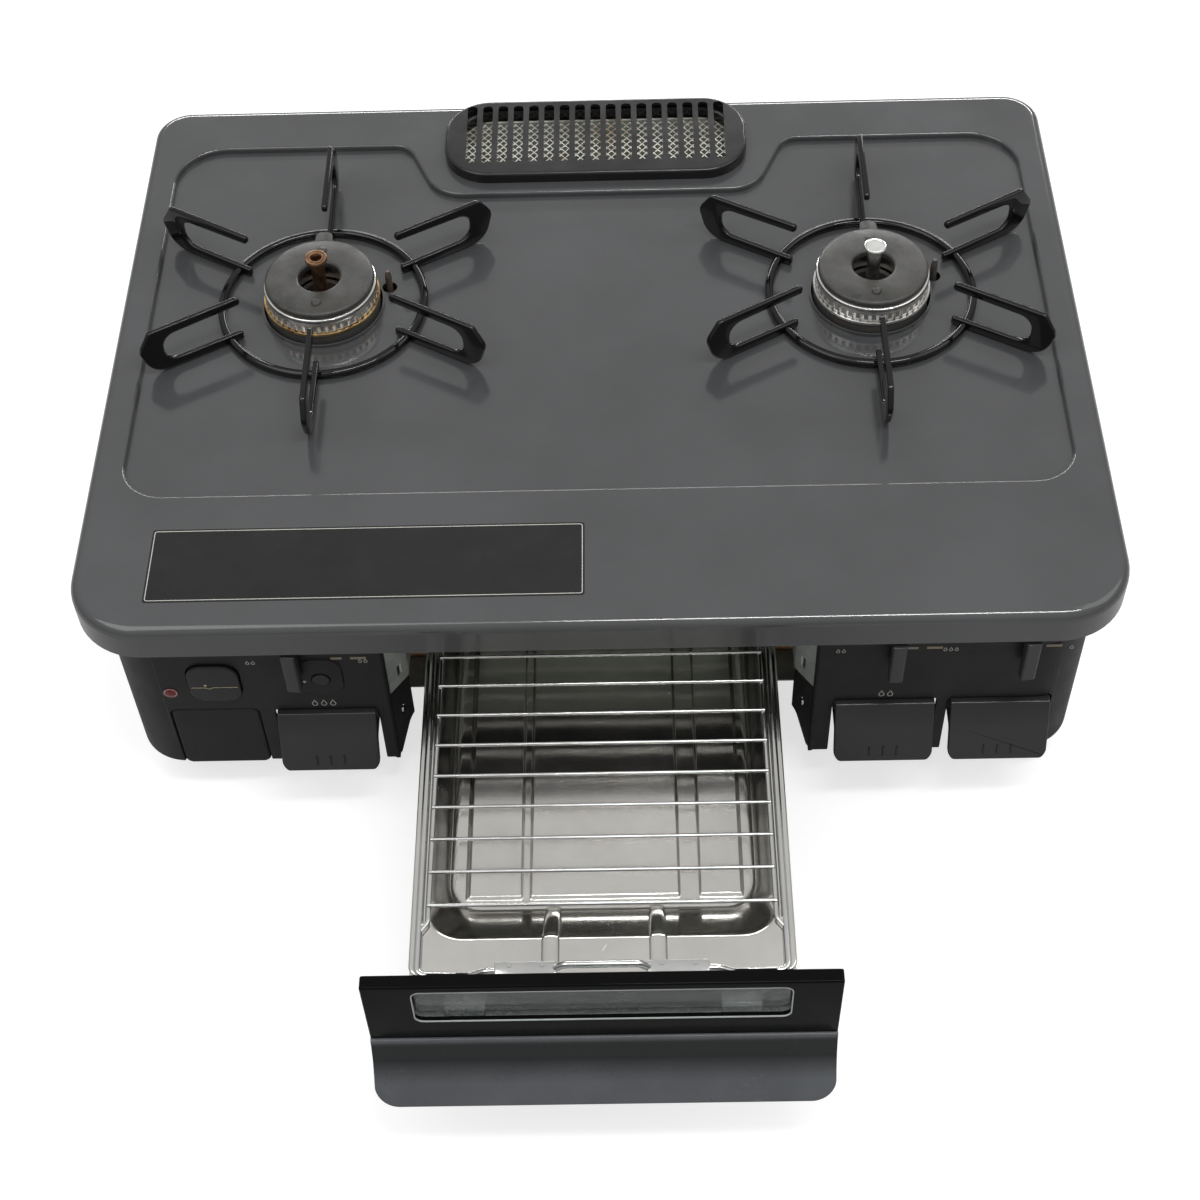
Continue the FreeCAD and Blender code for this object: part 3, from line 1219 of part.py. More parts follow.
def make_lever(name, x, rest):
    body = new_body(name)
    low = plate_top - lever_level - lever_thick
    arm = sketch(body, "XY", low)
    box_outline(arm, Size(0), -lever_radius / 2, lever_arm, lever_radius)
    pad(body, arm, lever_thick)
    hub = sketch(body, "XY", low)
    circle(hub, Size(0), Size(0), lever_pin + 9)
    pad(body, hub, lever_thick)
    eye = sketch(body, "XY", low)
    circle(eye, Size(0), Size(0), lever_pin + 2 * gap)
    pocket(body, eye, lever_thick + 1, 1)
    grip = sketch(body, "XY", plate_top - lever_level)
    box_outline(grip, Size(0), -lever_radius, lever_grip_width, lever_grip_depth, 1.5)
    pad(body, grip, lever_grip_drop, -1)
    doc.recompute()
    place = Vector(number(x), -number(lever_pivot), 0)
    body.Placement = FreeCAD.Placement(place, FreeCAD.Rotation(Vector(0, 0, 1), number(rest)))
    keep(body)


def make_mode_button():
    body = new_body("mode_button")
    front = sketch(body, "XZ", -panel_face + panel_wall + gap)
    box_outline(front, -mode_x, plate_top - mode_level, mode_width, mode_height, 9)
    pad(body, front, panel_wall + gap + 2, -1)
    front_y = number(-panel_face) - 1.9
    round_edges(body, Size(1), lambda edge: edge.BoundBox.YMax < front_y)
    back = sketch(body, "XZ", -panel_face + panel_wall + gap)
    box_outline(back, -mode_x, plate_top - mode_level, mode_width + 4, mode_height + 4, 10)
    pad(body, back, Size(2), 1)
    keep(body)


def make_heat_button():
    body = new_body("high_heat_button")
    front = sketch(body, "XZ", -panel_face + panel_wall + gap)
    circle(front, -heat_x, plate_top - heat_level, heat_dia)
    pad(body, front, panel_wall + gap + 1.5, -1)
    back = sketch(body, "XZ", -panel_face + panel_wall + gap)
    circle(back, -heat_x, plate_top - heat_level, heat_dia + 3)
    pad(body, back, Size(1.5), 1)
    keep(body)


def make_lamp():
    body = new_body("battery_lamp")
    front = sketch(body, "XZ", -panel_face + panel_wall + 0.1)
    circle(front, -lamp_x, plate_top - lamp_level, lamp_dia)
    pad(body, front, panel_wall + 0.9, -1)
    front_y = number(-panel_face) - 0.5
    round_edges(body, Size(1.5), lambda edge: edge.BoundBox.YMax < front_y)
    back = sketch(body, "XZ", -panel_face + panel_wall + 0.1)
    circle(back, -lamp_x, plate_top - lamp_level, lamp_dia + 2)
    pad(body, back, Size(2), 1)
    keep(body)


# Batteries: two cells end to end in a trough behind the lid, sliding in a fixed case
def make_battery_drawer():
    body = new_body("battery_drawer")
    face, level = -panel_face, plate_top - cell_level
    lid = sketch(body, "XZ", face)
    half = lid_width / 2
    span_outline(lid, -cell_x - half, -cell_x + half, plate_top - panel_bottom, plate_top - lid_top, 4.7)
    pad(body, lid, panel_wall, 1)
    foot = number(plate_top - panel_bottom)
    round_edges(body, Size(2), lambda edge: edge.BoundBox.YMax < number(face) + 0.01
                and edge.BoundBox.ZMax < foot + 0.01)
    trough = sketch(body, "XZ", face + panel_wall)
    out = cell_dia / 2 + trough_wall + gap
    span_outline(trough, -cell_x - out, -cell_x + out, level - out, level + 2, 4)
    length = 2 * cell_length + 4
    pad(body, trough, length, 1)
    bed = sketch(body, "XZ", face + panel_wall)
    circle(bed, -cell_x, level, cell_dia + 2 * gap)
    pocket(body, bed, length - 2, 1)
    keep(body)


def make_batteries():
    cells = []
    level = plate_top - cell_level
    for i in (0, 1):
        front = -panel_face + panel_wall + 0.5 + i * (cell_length + 0.2)
        can = rod(-cell_x, front, level, cell_dia, cell_length - 1.6, Vector(0, 1, 0))
        nub = rod(-cell_x, front + cell_length - 1.7, level, Size(9), Size(1.6), Vector(0, 1, 0))
        cells.append(can.fuse(nub).removeSplitter())
    keep(shape_piece("batteries", Part.makeCompound(cells)))


def make_battery_case():
    body = new_body("battery_case")
    level, start = plate_top - cell_level, -panel_face + panel_wall + 8
    inner = cell_dia + 2 * trough_wall + 4 * gap
    length = 2 * cell_length
    shell = sketch(body, "XZ", start)
    box_outline(shell, -cell_x, level, inner + 2 * trough_wall, inner + 2 * trough_wall, 4)
    box_outline(shell, -cell_x, level, inner, inner, 2.5)
    pad(body, shell, length, 1)
    end = sketch(body, "XZ", start + length)
    box_outline(end, -cell_x, level, inner + 2 * trough_wall, inner + 2 * trough_wall, 4)
    pad(body, end, trough_wall, 1)
    leg = sketch(body, "XY", base_level + skin)
    for along in (-base_front + 8, start + length - 10):
        box_outline(leg, -cell_x, Size(0) + along, Size(20), Size(4))
    pad(body, leg, level - inner / 2 - trough_wall - base_level - skin + 0.5)
    keep(body)


# Grill drawer: door with window and handle, carriage, tray and net
def make_door():
    body = new_body("door_panel")
    drawn = sketch(body, "XZ", -door_face)
    half = door_width / 2
    span_outline(drawn, -half, half, plate_top - door_seam, plate_top - door_top, 1.5)
    pad(body, drawn, door_thick, 1)
    front = number(-door_face)
    top = number(plate_top - door_top)
    round_edges(body, Size(1), lambda edge: edge.BoundBox.YMax < front + 0.01 and edge.BoundBox.ZMin > top - 0.01)
    window = sketch(body, "XZ", -door_face)
    half = window_width / 2
    span_outline(window, -half, half, plate_top - window_bottom, plate_top - window_top, 5)
    pocket(body, window, door_thick + 1, 1)
    seat = sketch(body, "XZ", -door_face + door_thick)
    half = window_width / 2 + glass_lap + gap
    span_outline(seat, -half, half, plate_top - window_bottom - glass_lap - gap, plate_top - window_top + 3.5, 3)
    pocket(body, seat, glass_thick + 0.8, -1)
    clips = sketch(body, "XZ", -door_face + door_thick - 0.3)
    head, foot, waist = plate_top - door_top - 0.5, plate_top - clip_drop, plate_top - clip_drop + 5
    for side in (-1, 1):
        middle, wide, narrow = side * clip_place, clip_width / 2, clip_width / 2 - 4
        outline(clips, [(middle - wide, head, 0), (middle - wide, waist, 0), (middle - narrow, foot, 0),
                        (middle + narrow, foot, 0), (middle + wide, waist, 0), (middle + wide, head, 0)])
    pad(body, clips, Size(1.3), 1)
    keep(body, True)


def make_door_glass():
    body = new_body("door_glass")
    back = door_thick - 0.8
    drawn = sketch(body, "XZ", -door_face + back)
    half = window_width / 2 + glass_lap
    span_outline(drawn, -half, half, plate_top - window_bottom - glass_lap, plate_top - window_top + 3.2, 2.7)
    pad(body, drawn, glass_thick, -1)
    keep(body, True)


def make_door_handle():
    body = new_body("door_handle")
    face, seam, shell = -door_face, plate_top - door_seam, handle_shell
    far, lip = face - handle_reach, plate_top - handle_lip
    back = face + door_thick
    profile = sketch(body, "YZ", -door_width / 2)
    outline(profile, [(back, seam, 0), (face - 1.5, seam, 0.7), (face - 2, seam - 5, 1), (face - 7, seam - 19, 22),
                      (far, lip, 1.2), (far + 2, lip - shell + 0.4, 1), (face - 3, seam - 23, 20),
                      (face + 4, seam - 13, 3), (back, seam - 13, 0)])
    pad(body, profile, door_width, 1)
    clip_corners(body, door_width, Size(0), lip - shell + 0.1, handle_corner, far - 2, handle_reach + 12)
    keep(body, True)


def make_carriage():
    """Two side rails under the tray's rim, a front bar fixed to the door and a rear bar."""
    half = tray_width / 2 - rail_inset
    low, high = runner_level + gap, tray_rim - skin
    front, back = -door_face + door_thick + 8, tray_back - 3
    parts = []
    for side in (-1, 1):
        left, right = sorted([side * half, side * (half - rail_thick)], key=number)
        parts.append(slab(left, right, front, back, low, high))
        left, right = sorted([side * Size(58), side * Size(78)], key=number)
        parts.append(slab(left, right, -door_face + door_thick, front + 0.5, high - 22, high - 16))
    parts.append(slab(-half, half, front, front + 1.5, high - 26, high))
    parts.append(slab(-half, half, back - 3, back, low, high))
    whole = parts[0].fuse(parts[1:]).removeSplitter()
    keep(shape_piece("drawer_carriage", whole.Solids[0]), True)


def tray_well(inset, slope, front_slope, level, radius):
    """One rounded outline of the tray's well at a level."""
    half = number(tray_width) / 2 - number(tray_flange) - inset - slope
    front = -number(tray_front) + number(tray_front_flange) + inset + front_slope
    back = number(tray_back) - number(tray_flange) - inset - slope
    face = rounded_face([Vector(-half, 0, front), Vector(half, 0, front), Vector(half, 0, back),
                         Vector(-half, 0, back)], [radius] * 4)
    face.rotate(Vector(0, 0, 0), Vector(1, 0, 0), -90)
    return face.OuterWire.translated(Vector(0, 0, level))


def make_tray():
    """A stamped pan: flat rim, leaning walls, beads along the floor and two channels in the front wall."""
    wall = number(skin)
    rim, floor = number(tray_rim), number(tray_rim) - number(tray_depth)
    slope, front_slope = number(tray_slope), number(tray_front_slope)
    outer = Part.makeLoft([tray_well(0, 0, 0, rim - wall, 18), tray_well(0, slope, front_slope, floor - wall, 22)],
                          True, True)
    inner = Part.makeLoft([tray_well(wall, 0, 0, rim + 0.01, 17), tray_well(wall, slope, front_slope, floor, 21)],
                          True, True)
    half, front, back = number(tray_width) / 2, -number(tray_front), number(tray_back)
    flange = rounded_face([Vector(-half, 0, front), Vector(half, 0, front), Vector(half, 0, back),
                           Vector(-half, 0, back)], [6] * 4)
    flange.rotate(Vector(0, 0, 0), Vector(1, 0, 0), -90)
    flange = flange.extrude(Vector(0, 0, wall)).translated(Vector(0, 0, rim - wall))
    beads = []
    start, end = front + number(tray_front_flange) + front_slope + 12, back - number(tray_flange) - slope - 14
    for x, width in ((-70, 6), (-34, 7), (36, 12), (66, 12)):
        beads.append(Part.makeBox(width, end - start, wall + number(tray_bead), Vector(x - width / 2, start, floor - wall)))
    whole = flange.fuse([outer]).cut(inner).fuse(beads).removeSplitter()
    keep(shape_piece("grill_tray", whole.Solids[0]), True)


def make_net():
    """Cross wires on two side wires, held in a frame wire that lies on the tray's rim."""
    frame, wire = number(net_frame_dia), number(net_wire_dia)
    level = number(tray_rim) + frame / 2
    half = number(tray_width) / 2 - number(tray_flange) / 2
    front, back = -number(tray_front) + 5, number(tray_back) - 5
    rise, shoulder, lift = 5, 52, 18
    path = [(-half, back - 30, level), (-half, front, level), (-half + 24, front, level), (-shoulder, front, level + rise),
            (-lift - 6, front, level + rise), (-lift, front, level + rise + 7), (lift, front, level + rise + 7),
            (lift + 6, front, level + rise), (shoulder, front, level + rise), (half - 24, front, level),
            (half, front, level), (half, back - 30, level)]
    nose = swept_pipe(path, 4, frame, 0)
    tail = swept_pipe([(half, back - 31, level), (half, back, level), (-half, back, level), (-half, back - 31, level)],
                      12, frame, 0)
    parts = [tail]
    for side in (-1, 1):
        parts.append(rod(side * number(net_half), front + 20, level + 0.1, 3, back - front - 20.5, Vector(0, 1, 0)))
        foot = number(net_half) - 0.4 if side > 0 else -half
        parts.append(rod(foot, front + 21.5, level - 0.2, 2.6, half - number(net_half) + 0.4, Vector(1, 0, 0)))
        plate = Part.makeBox(30, 5, 1.2, Vector(side * (shoulder - 15) - 15, front - 1, level + rise + frame / 2 - 0.9))
        parts.append(plate)
    first = front + 32
    for i in range(int(number(net_wires))):
        y = first + i * number(net_pitch)
        parts.append(rod(-number(net_half) - 0.8, y, level + 1.6, wire, 2 * number(net_half) + 1.6, Vector(1, 0, 0)))
    whole = nose.fuse(parts)
    keep(shape_piece("grill_net", whole.Solids[0]), True)


def make_screws():
    screws = []
    back = body_back
    for x in (-248, -60, 60, 248):
        for z in (30, 140):
            screws.append(rod(Size(x), back, Size(z), Size(7), Size(2), Vector(0, 1, 0)))
    for side in (-1, 1):
        inset = side * (panel_gap / 2 - ear_lean / 2 + 1)
        axis = Vector(-side, 0, 0)
        screws.append(rod(inset, -panel_face + 2.1 + ear_depth / 2, plate_top - ear_screw, Size(4), Size(0.9), axis))
    keep(shape_piece("case_screws", Part.makeCompound(screws)))


make_top_plate()
make_exhaust_cover()
make_exhaust_mesh()
for name, side in (("left", -1), ("right", 1)):
    make_side_panel(f"{name}_side_panel", side)
    make_inner_plate(f"{name}_inner_plate", side)
    make_chamber_wall(f"chamber_{name}_wall", side)
    make_burner_body(f"{name}_burner_body", side)
    make_burner_ring(f"{name}_burner_ring", side)
    make_burner_cap(f"{name}_burner_cap", side)
    make_sensor_spring(f"{name}_sensor_spring", side)
    make_electrode(f"{name}_electrode", side)
    make_thermocouple(f"{name}_thermocouple", side)
    make_trivet(f"{name}_trivet", side)
make_sensor("left_sensor", -1, 4, 3)
make_sensor("right_sensor", 1, 3, 0.6)
make_rear_panel()
make_bottom_plate()
make_feet()
make_left_panel()
make_right_panel()
make_valve("left_valve", -left_button_x, -burner_x)
make_valve("right_valve", right_button_x, burner_x)
make_valve("grill_valve", grill_button_x, None)
make_gas_pipe()
make_gas_inlet()
make_igniter()
make_chamber_floor()
make_chamber_ceiling()
make_exhaust_duct()
make_grill_burner()
make_press_button("left_button", -left_button_x)
make_press_button("right_button", right_button_x)
make_press_button("grill_button", grill_button_x)
make_lever("left_lever", -left_button_x, left_lever_rest)
make_lever("right_lever", right_button_x, right_lever_rest)
make_lever("grill_lever", grill_button_x, grill_lever_rest)
make_mode_button()
make_heat_button()
make_lamp()
make_battery_drawer()
make_batteries()
make_battery_case()
make_door()
make_door_glass()
make_door_handle()
make_carriage()
make_tray()
make_net()
make_screws()

doc.recompute()
faults = [item.Label for item in doc.Objects if "Invalid" in item.State or "Error" in item.State]
if faults:
    raise RuntimeError(f"objects that failed: {faults}")
for piece in pieces:
    if piece.Shape.isNull() or not piece.Shape.isValid():
        raise RuntimeError(f"{piece.Label}: no valid shape")

os.makedirs("parts", exist_ok=True)
for piece in pieces:
    piece.Shape.exportStep(f"parts/{piece.Label}.step")
print(len(pieces), "pieces written")
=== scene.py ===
import json
from math import cos, dist, pi, radians, sin, sqrt, tan

import bmesh
import bpy
from mathutils import Matrix, Vector


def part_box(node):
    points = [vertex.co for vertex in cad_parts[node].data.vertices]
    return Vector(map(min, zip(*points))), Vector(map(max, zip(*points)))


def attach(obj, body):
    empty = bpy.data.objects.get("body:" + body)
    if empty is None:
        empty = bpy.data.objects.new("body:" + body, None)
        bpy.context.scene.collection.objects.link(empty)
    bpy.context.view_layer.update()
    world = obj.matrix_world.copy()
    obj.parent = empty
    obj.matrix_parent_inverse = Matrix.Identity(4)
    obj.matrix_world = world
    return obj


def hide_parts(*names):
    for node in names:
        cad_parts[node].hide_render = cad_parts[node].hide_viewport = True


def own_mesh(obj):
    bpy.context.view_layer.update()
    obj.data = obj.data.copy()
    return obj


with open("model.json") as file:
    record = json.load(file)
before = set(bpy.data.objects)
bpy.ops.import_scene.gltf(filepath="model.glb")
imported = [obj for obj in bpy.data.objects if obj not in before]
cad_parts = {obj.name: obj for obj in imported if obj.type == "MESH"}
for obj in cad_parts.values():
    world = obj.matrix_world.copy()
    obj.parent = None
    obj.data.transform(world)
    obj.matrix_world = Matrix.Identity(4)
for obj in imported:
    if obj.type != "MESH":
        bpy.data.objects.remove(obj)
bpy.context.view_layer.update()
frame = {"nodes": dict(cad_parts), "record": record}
NODES = frame["nodes"]

PLATE_Y = 0.1056      # middle of the top plate behind the frame's origin, in metres
PLATE_TOP = 0.162     # rim of the top plate above the feet's plane
DRAWER_OUT = 0.198    # way that the drawer stands out at rest


# Materials
class Nodes:
    """Builds one material's node tree with short calls."""

    def __init__(self, name):
        self.material = bpy.data.materials.new(name)
        self.material.use_nodes = True
        self.tree = self.material.node_tree
        self.shader = self.tree.nodes["Principled BSDF"]
        self.coords = None

    @classmethod
    def of(cls, material):
        """The nodes of a material that is already there."""
        nodes = cls.__new__(cls)
        nodes.material, nodes.tree, nodes.coords = material, material.node_tree, None
        nodes.shader = material.node_tree.nodes["Principled BSDF"]
        return nodes

    def add(self, kind, **inputs):
        node = self.tree.nodes.new(kind)
        for key, value in inputs.items():
            if key in node.inputs.keys():
                node.inputs[key].default_value = value
            else:
                setattr(node, key, value)
        return node

    def link(self, source, target):
        self.tree.links.new(source, target)

    def place(self):
        if self.coords is None:
            self.coords = self.tree.nodes.new("ShaderNodeTexCoord")
        return self.coords.outputs["Object"]

    def mapped(self, scale=(1, 1, 1)):
        mapping = self.add("ShaderNodeMapping")
        mapping.inputs["Scale"].default_value = scale
        self.link(self.place(), mapping.inputs["Vector"])
        return mapping.outputs["Vector"]

    def noise(self, scale, detail=4.0, rough=0.55, stretch=(1, 1, 1), distortion=0.0):
        node = self.add("ShaderNodeTexNoise", Scale=scale, Detail=detail, Roughness=rough,
                        Distortion=distortion)
        self.link(self.mapped(stretch), node.inputs["Vector"])
        return node.outputs["Fac"]

    def ramp(self, fac, *stops):
        node = self.add("ShaderNodeValToRGB")
        elements = node.color_ramp.elements
        while len(elements) > 1:
            elements.remove(elements[-1])
        elements[0].position, elements[0].color = stops[0][0], self.rgba(stops[0][1])
        for position, colour in stops[1:]:
            element = elements.new(position)
            element.color = self.rgba(colour)
        self.link(fac, node.inputs["Fac"])
        return node.outputs["Color"]

    @staticmethod
    def rgba(colour):
        if isinstance(colour, (int, float)):
            return (colour, colour, colour, 1)
        return (*colour[:3], 1)

    def math(self, kind, a, b):
        node = self.add("ShaderNodeMath", operation=kind)
        for socket, value in zip(node.inputs, (a, b)):
            if isinstance(value, (int, float)):
                socket.default_value = value
            else:
                self.link(value, socket)
        return node.outputs[0]

    def mix(self, fac, a, b, kind="MIX"):
        node = self.add("ShaderNodeMix", data_type="RGBA", blend_type=kind)
        for name, value in (("Factor", fac), ("A", a), ("B", b)):
            socket = [s for s in node.inputs if s.name == name and s.enabled and s.type != "VECTOR"][0]
            if isinstance(value, (int, float)) and name == "Factor":
                socket.default_value = value
            elif isinstance(value, (int, float, tuple, list)):
                socket.default_value = self.rgba(value)
            else:
                self.link(value, socket)
        return [s for s in node.outputs if s.enabled][0]

    def remap(self, value, low, high, new_low, new_high):
        limits = {"From Min": low, "From Max": high, "To Min": new_low, "To Max": new_high}
        node = self.add("ShaderNodeMapRange", **limits)
        self.link(value, node.inputs["Value"])
        return node.outputs["Result"]

    def axis(self, which):
        split = self.add("ShaderNodeSeparateXYZ")
        self.link(self.place(), split.inputs[0])
        return split.outputs[which]

    def colour(self, value):
        if isinstance(value, (tuple, list)):
            self.shader.inputs["Base Color"].default_value = self.rgba(value)
        else:
            self.link(value, self.shader.inputs["Base Color"])

    def put(self, name, value):
        socket = self.shader.inputs[name]
        if isinstance(value, (int, float)):
            socket.default_value = value
        else:
            self.link(value, socket)

    def bump(self, height, strength=0.3, distance=0.0005, after=None):
        node = self.add("ShaderNodeBump", Strength=strength, Distance=distance)
        self.link(height, node.inputs["Height"])
        if after is not None:
            self.link(after, node.inputs["Normal"])
        return node.outputs["Normal"]

    def normal(self, value):
        self.link(value, self.shader.inputs["Normal"])


def tone_of(base, change):
    """A lighter or darker tone of a colour."""
    return tuple(min(1, c * change) for c in base)


def enamel(name, base, rough=0.16, peel=0.05, dust=0.06, shine=0.55, coat=0.35):
    """Fired enamel: fine orange peel, faint cloudy haze and a few dust specks."""
    n = Nodes(name)
    cloud = n.noise(9, 5, 0.6)
    fine = n.noise(420, 2, 0.5)
    tone = n.ramp(cloud, (0.3, tone_of(base, 0.86)), (0.7, tone_of(base, 1.14)))
    specks = n.ramp(n.noise(900, 1, 0.4), (0.74, 0.0), (0.8, 1.0))
    n.colour(n.mix(n.math("MULTIPLY", specks, dust), tone, tuple(min(1, c * 4 + 0.1) for c in base)))
    n.put("Roughness", n.remap(n.noise(30, 4, 0.6), 0.3, 0.7, rough * 0.8, rough * 1.3))
    n.put("Specular IOR Level", shine)
    n.put("Coat Weight", coat)
    n.put("Coat Roughness", 0.06)
    broad = n.bump(n.noise(160, 2, 0.5), peel, 0.0006)
    n.normal(n.bump(fine, peel * 0.8, 0.0003, broad))
    return n.material


def plastic(name, base, rough=0.42, grain=0.12, scale=1400, mottled=0.08, scuff=0.0, scuff_colour=0.4,
            shine=0.5):
    """Moulded plastic with a fine eroded grain, faint handling marks and scuffs."""
    n = Nodes(name)
    cloud = n.noise(24, 4, 0.6)
    tone = n.ramp(cloud, (0.3, tone_of(base, 1 - mottled)), (0.7, tone_of(base, 1 + mottled)))
    if scuff:
        patches = n.ramp(n.noise(26, 6, 0.72, (1, 1, 1.8), 0.6), (0.56, 0.0), (0.66, 1.0))
        scratches = n.ramp(n.noise(70, 8, 0.8, (1, 7, 1)), (0.52, 0.0), (0.64, 1.0))
        fac = n.math("MULTIPLY", n.math("MULTIPLY", patches, scratches), scuff)
        tone = n.mix(fac, tone, scuff_colour)
    n.colour(tone)
    n.put("Roughness", n.remap(n.noise(60, 5, 0.6), 0.3, 0.7, rough * 0.85, min(1, rough * 1.2)))
    n.put("Specular IOR Level", shine)
    n.normal(n.bump(n.noise(scale, 2, 0.6), grain, 0.0002))
    return n.material


def metal(name, base, rough=0.25, brushed=(1, 1, 1), scale=300, grain=0.08, stain=None, stain_scale=14,
          stain_at=0.55, metallic=1.0):
    """Bare or plated metal: brushed or rolled grain, smudges and heat or age stains."""
    n = Nodes(name)
    tone = n.ramp(n.noise(18, 5, 0.6), (0.3, tone_of(base, 0.9)), (0.7, tone_of(base, 1.06)))
    if stain is not None:
        fac = n.ramp(n.noise(stain_scale, 7, 0.7), (stain_at - 0.08, 0.0), (stain_at + 0.12, 1.0))
        tone = n.mix(fac, tone, stain)
    n.colour(tone)
    n.put("Metallic", metallic)
    lines = n.noise(scale, 5, 0.6, brushed)
    smudges = n.noise(22, 5, 0.65)
    n.put("Roughness", n.math("ADD", n.remap(lines, 0.3, 0.7, rough * 0.8, rough * 1.15),
                              n.remap(smudges, 0.4, 0.7, 0.0, rough * 0.4)))
    n.normal(n.bump(lines, grain, 0.0002))
    return n.material


def galvanised(name):
    """Zinc-coated sheet with soft spangle."""
    base = (0.6, 0.64, 0.59)
    n = Nodes(name)
    cells = n.add("ShaderNodeTexVoronoi", Scale=190.0)
    n.link(n.mapped(), cells.inputs["Vector"])
    spangle = n.ramp(cells.outputs["Color"], (0.0, tone_of(base, 0.86)), (1.0, tone_of(base, 1.12)))
    cloud = n.ramp(n.noise(30, 6, 0.65), (0.5, 0.0), (0.75, 0.6))
    n.colour(n.mix(cloud, spangle, tone_of(base, 0.72)))
    n.put("Metallic", 0.45)
    n.put("Roughness", n.remap(n.noise(80, 3, 0.5), 0.3, 0.7, 0.34, 0.5))
    n.normal(n.bump(n.noise(500, 3, 0.5), 0.06, 0.0002))
    return n.material


def paint_shade(material, axis, *stops):
    """Paint shade into a material's colour along one axis of the part. Stops are (place, level)."""
    n = Nodes.of(material)
    socket = n.shader.inputs["Base Color"]
    low, high = stops[0][0], stops[-1][0]
    fac = n.remap(n.axis(axis), low, high, 0.0, 1.0)
    shade = n.ramp(fac, *(((place - low) / (high - low), level) for place, level in stops))
    n.colour(n.mix(1.0, socket.links[0].from_socket, shade, "MULTIPLY"))
    return material


def mottled_cap():
    """Fired cap: grey-olive, cloudy, dulled by heat, with small dark burnt spots."""
    n = Nodes("burner_cap")
    cloud = n.noise(60, 7, 0.72)
    tone = n.ramp(cloud, (0.3, (0.016, 0.0155, 0.013)), (0.55, (0.04, 0.039, 0.035)),
                  (0.75, (0.056, 0.056, 0.052)))
    burnt = n.ramp(n.noise(110, 6, 0.7, (1, 1, 1), 0.8), (0.6, 0.0), (0.68, 1.0))
    n.colour(n.mix(n.math("MULTIPLY", burnt, 0.8), tone, (0.011, 0.0105, 0.009)))
    n.put("Roughness", n.remap(n.noise(50, 5, 0.6), 0.3, 0.7, 0.3, 0.55))
    n.put("Specular IOR Level", 0.45)
    n.normal(n.bump(n.noise(500, 4, 0.6), 0.12, 0.0003))
    return n.material


PLATE = enamel("plate_enamel", (0.05, 0.051, 0.053), 0.14, 0.05)
BLACK = enamel("black_enamel", (0.008, 0.008, 0.008), 0.2, 0.05, 0.03, 0.4, 0.1)
CASE = enamel("case_paint", (0.05, 0.05, 0.05), 0.3, 0.05)
PANEL = plastic("panel_plastic", (0.014, 0.0145, 0.014), 0.4, 0.1, shine=0.2)
BUTTON = plastic("button_plastic", (0.02, 0.0205, 0.0205), 0.2, 0.06, shine=0.45)
KEY = plastic("key_plastic", (0.014, 0.014, 0.0145), 0.25, 0.06, shine=0.3)
LEVER = plastic("lever_plastic", (0.032, 0.032, 0.032), 0.32, 0.1, shine=0.35)
# Painted shade: the handle darker in its hollow and the pan darker on its walls. The places are heights in
# metres.
# Painted shade: the handle's hollow, below its ridge, is darkened where shade falls.
HANDLE = paint_shade(plastic("handle_plastic", (0.085, 0.09, 0.097), 0.3, 0.1, 1100, 0.12, 0.5, 0.24, shine=0.3),
                2, (0.056, 1.0), (0.068, 0.16), (0.0785, 0.16), (0.081, 1.0))
DOOR = plastic("door_face", (0.0025, 0.0025, 0.0025), 0.12, 0.02, 900, 0.05, shine=0.06)
CAST = metal("cast_body", (0.1, 0.098, 0.095), 0.5, scale=500, grain=0.3, stain=(0.16, 0.09, 0.05),
             metallic=0.6)
CAP = mottled_cap()
RING = metal("burner_ring", (0.68, 0.67, 0.65), 0.2, (1, 1, 8), 200, 0.05, (0.3, 0.22, 0.15), 40, 0.66)
VALVE = metal("valve_casting", (0.55, 0.55, 0.54), 0.4, scale=400, grain=0.2)
COPPER = metal("copper_tube", (0.46, 0.31, 0.2), 0.34, (1, 1, 1), 300, 0.1, (0.2, 0.11, 0.06), 60, 0.46)
STEEL = metal("turned_steel", (0.62, 0.62, 0.61), 0.22, (1, 1, 10), 200, 0.08)
BRASS = metal("turned_brass", (0.66, 0.48, 0.2), 0.22, (1, 8, 1), 200, 0.08)
# Painted dark reflection: the pan's walls are darkened between the floor and the flange.
STAINLESS = paint_shade(metal("stamped_stainless", (0.66, 0.645, 0.615), 0.13, (1, 12, 1), 260, 0.04), 2,
                   (0.0785, 1.0), (0.082, 0.42), (0.1035, 0.42), (0.1055, 1.0))
WIRE = metal("plated_wire", (0.62, 0.62, 0.61), 0.14, (1, 1, 1), 400, 0.05)
MESH = metal("expanded_mesh", (0.8, 0.77, 0.7), 0.4, (1, 1, 1), 200, 0.1, (0.42, 0.3, 0.18), 22, 0.56,
             metallic=0.35)
ZINC = galvanised("galvanised_sheet")
CERAMIC = plastic("white_ceramic", (0.75, 0.73, 0.68), 0.25, 0.05, 900, 0.05)
RUBBER = plastic("foot_rubber", (0.02, 0.02, 0.02), 0.7, 0.2, 700, 0.1)
PALE = plastic("pale_plastic", (0.6, 0.58, 0.53), 0.5, 0.1)
CELL = plastic("cell_wrap", (0.1, 0.11, 0.13), 0.3, 0.05)


def glass_material():
    n = Nodes("window_glass")
    n.colour((0.4, 0.43, 0.42))
    n.put("Transmission Weight", 1.0)
    n.put("IOR", 1.45)
    n.put("Roughness", n.remap(n.noise(40, 5, 0.6), 0.4, 0.7, 0.02, 0.09))
    return n.material


def lamp_material():
    n = Nodes("lamp_lens")
    n.colour(n.ramp(n.noise(500, 2, 0.5), (0.3, (0.12, 0.004, 0.004)), (0.7, (0.2, 0.008, 0.008))))
    n.put("Roughness", 0.12)
    n.put("Transmission Weight", 0.25)
    return n.material


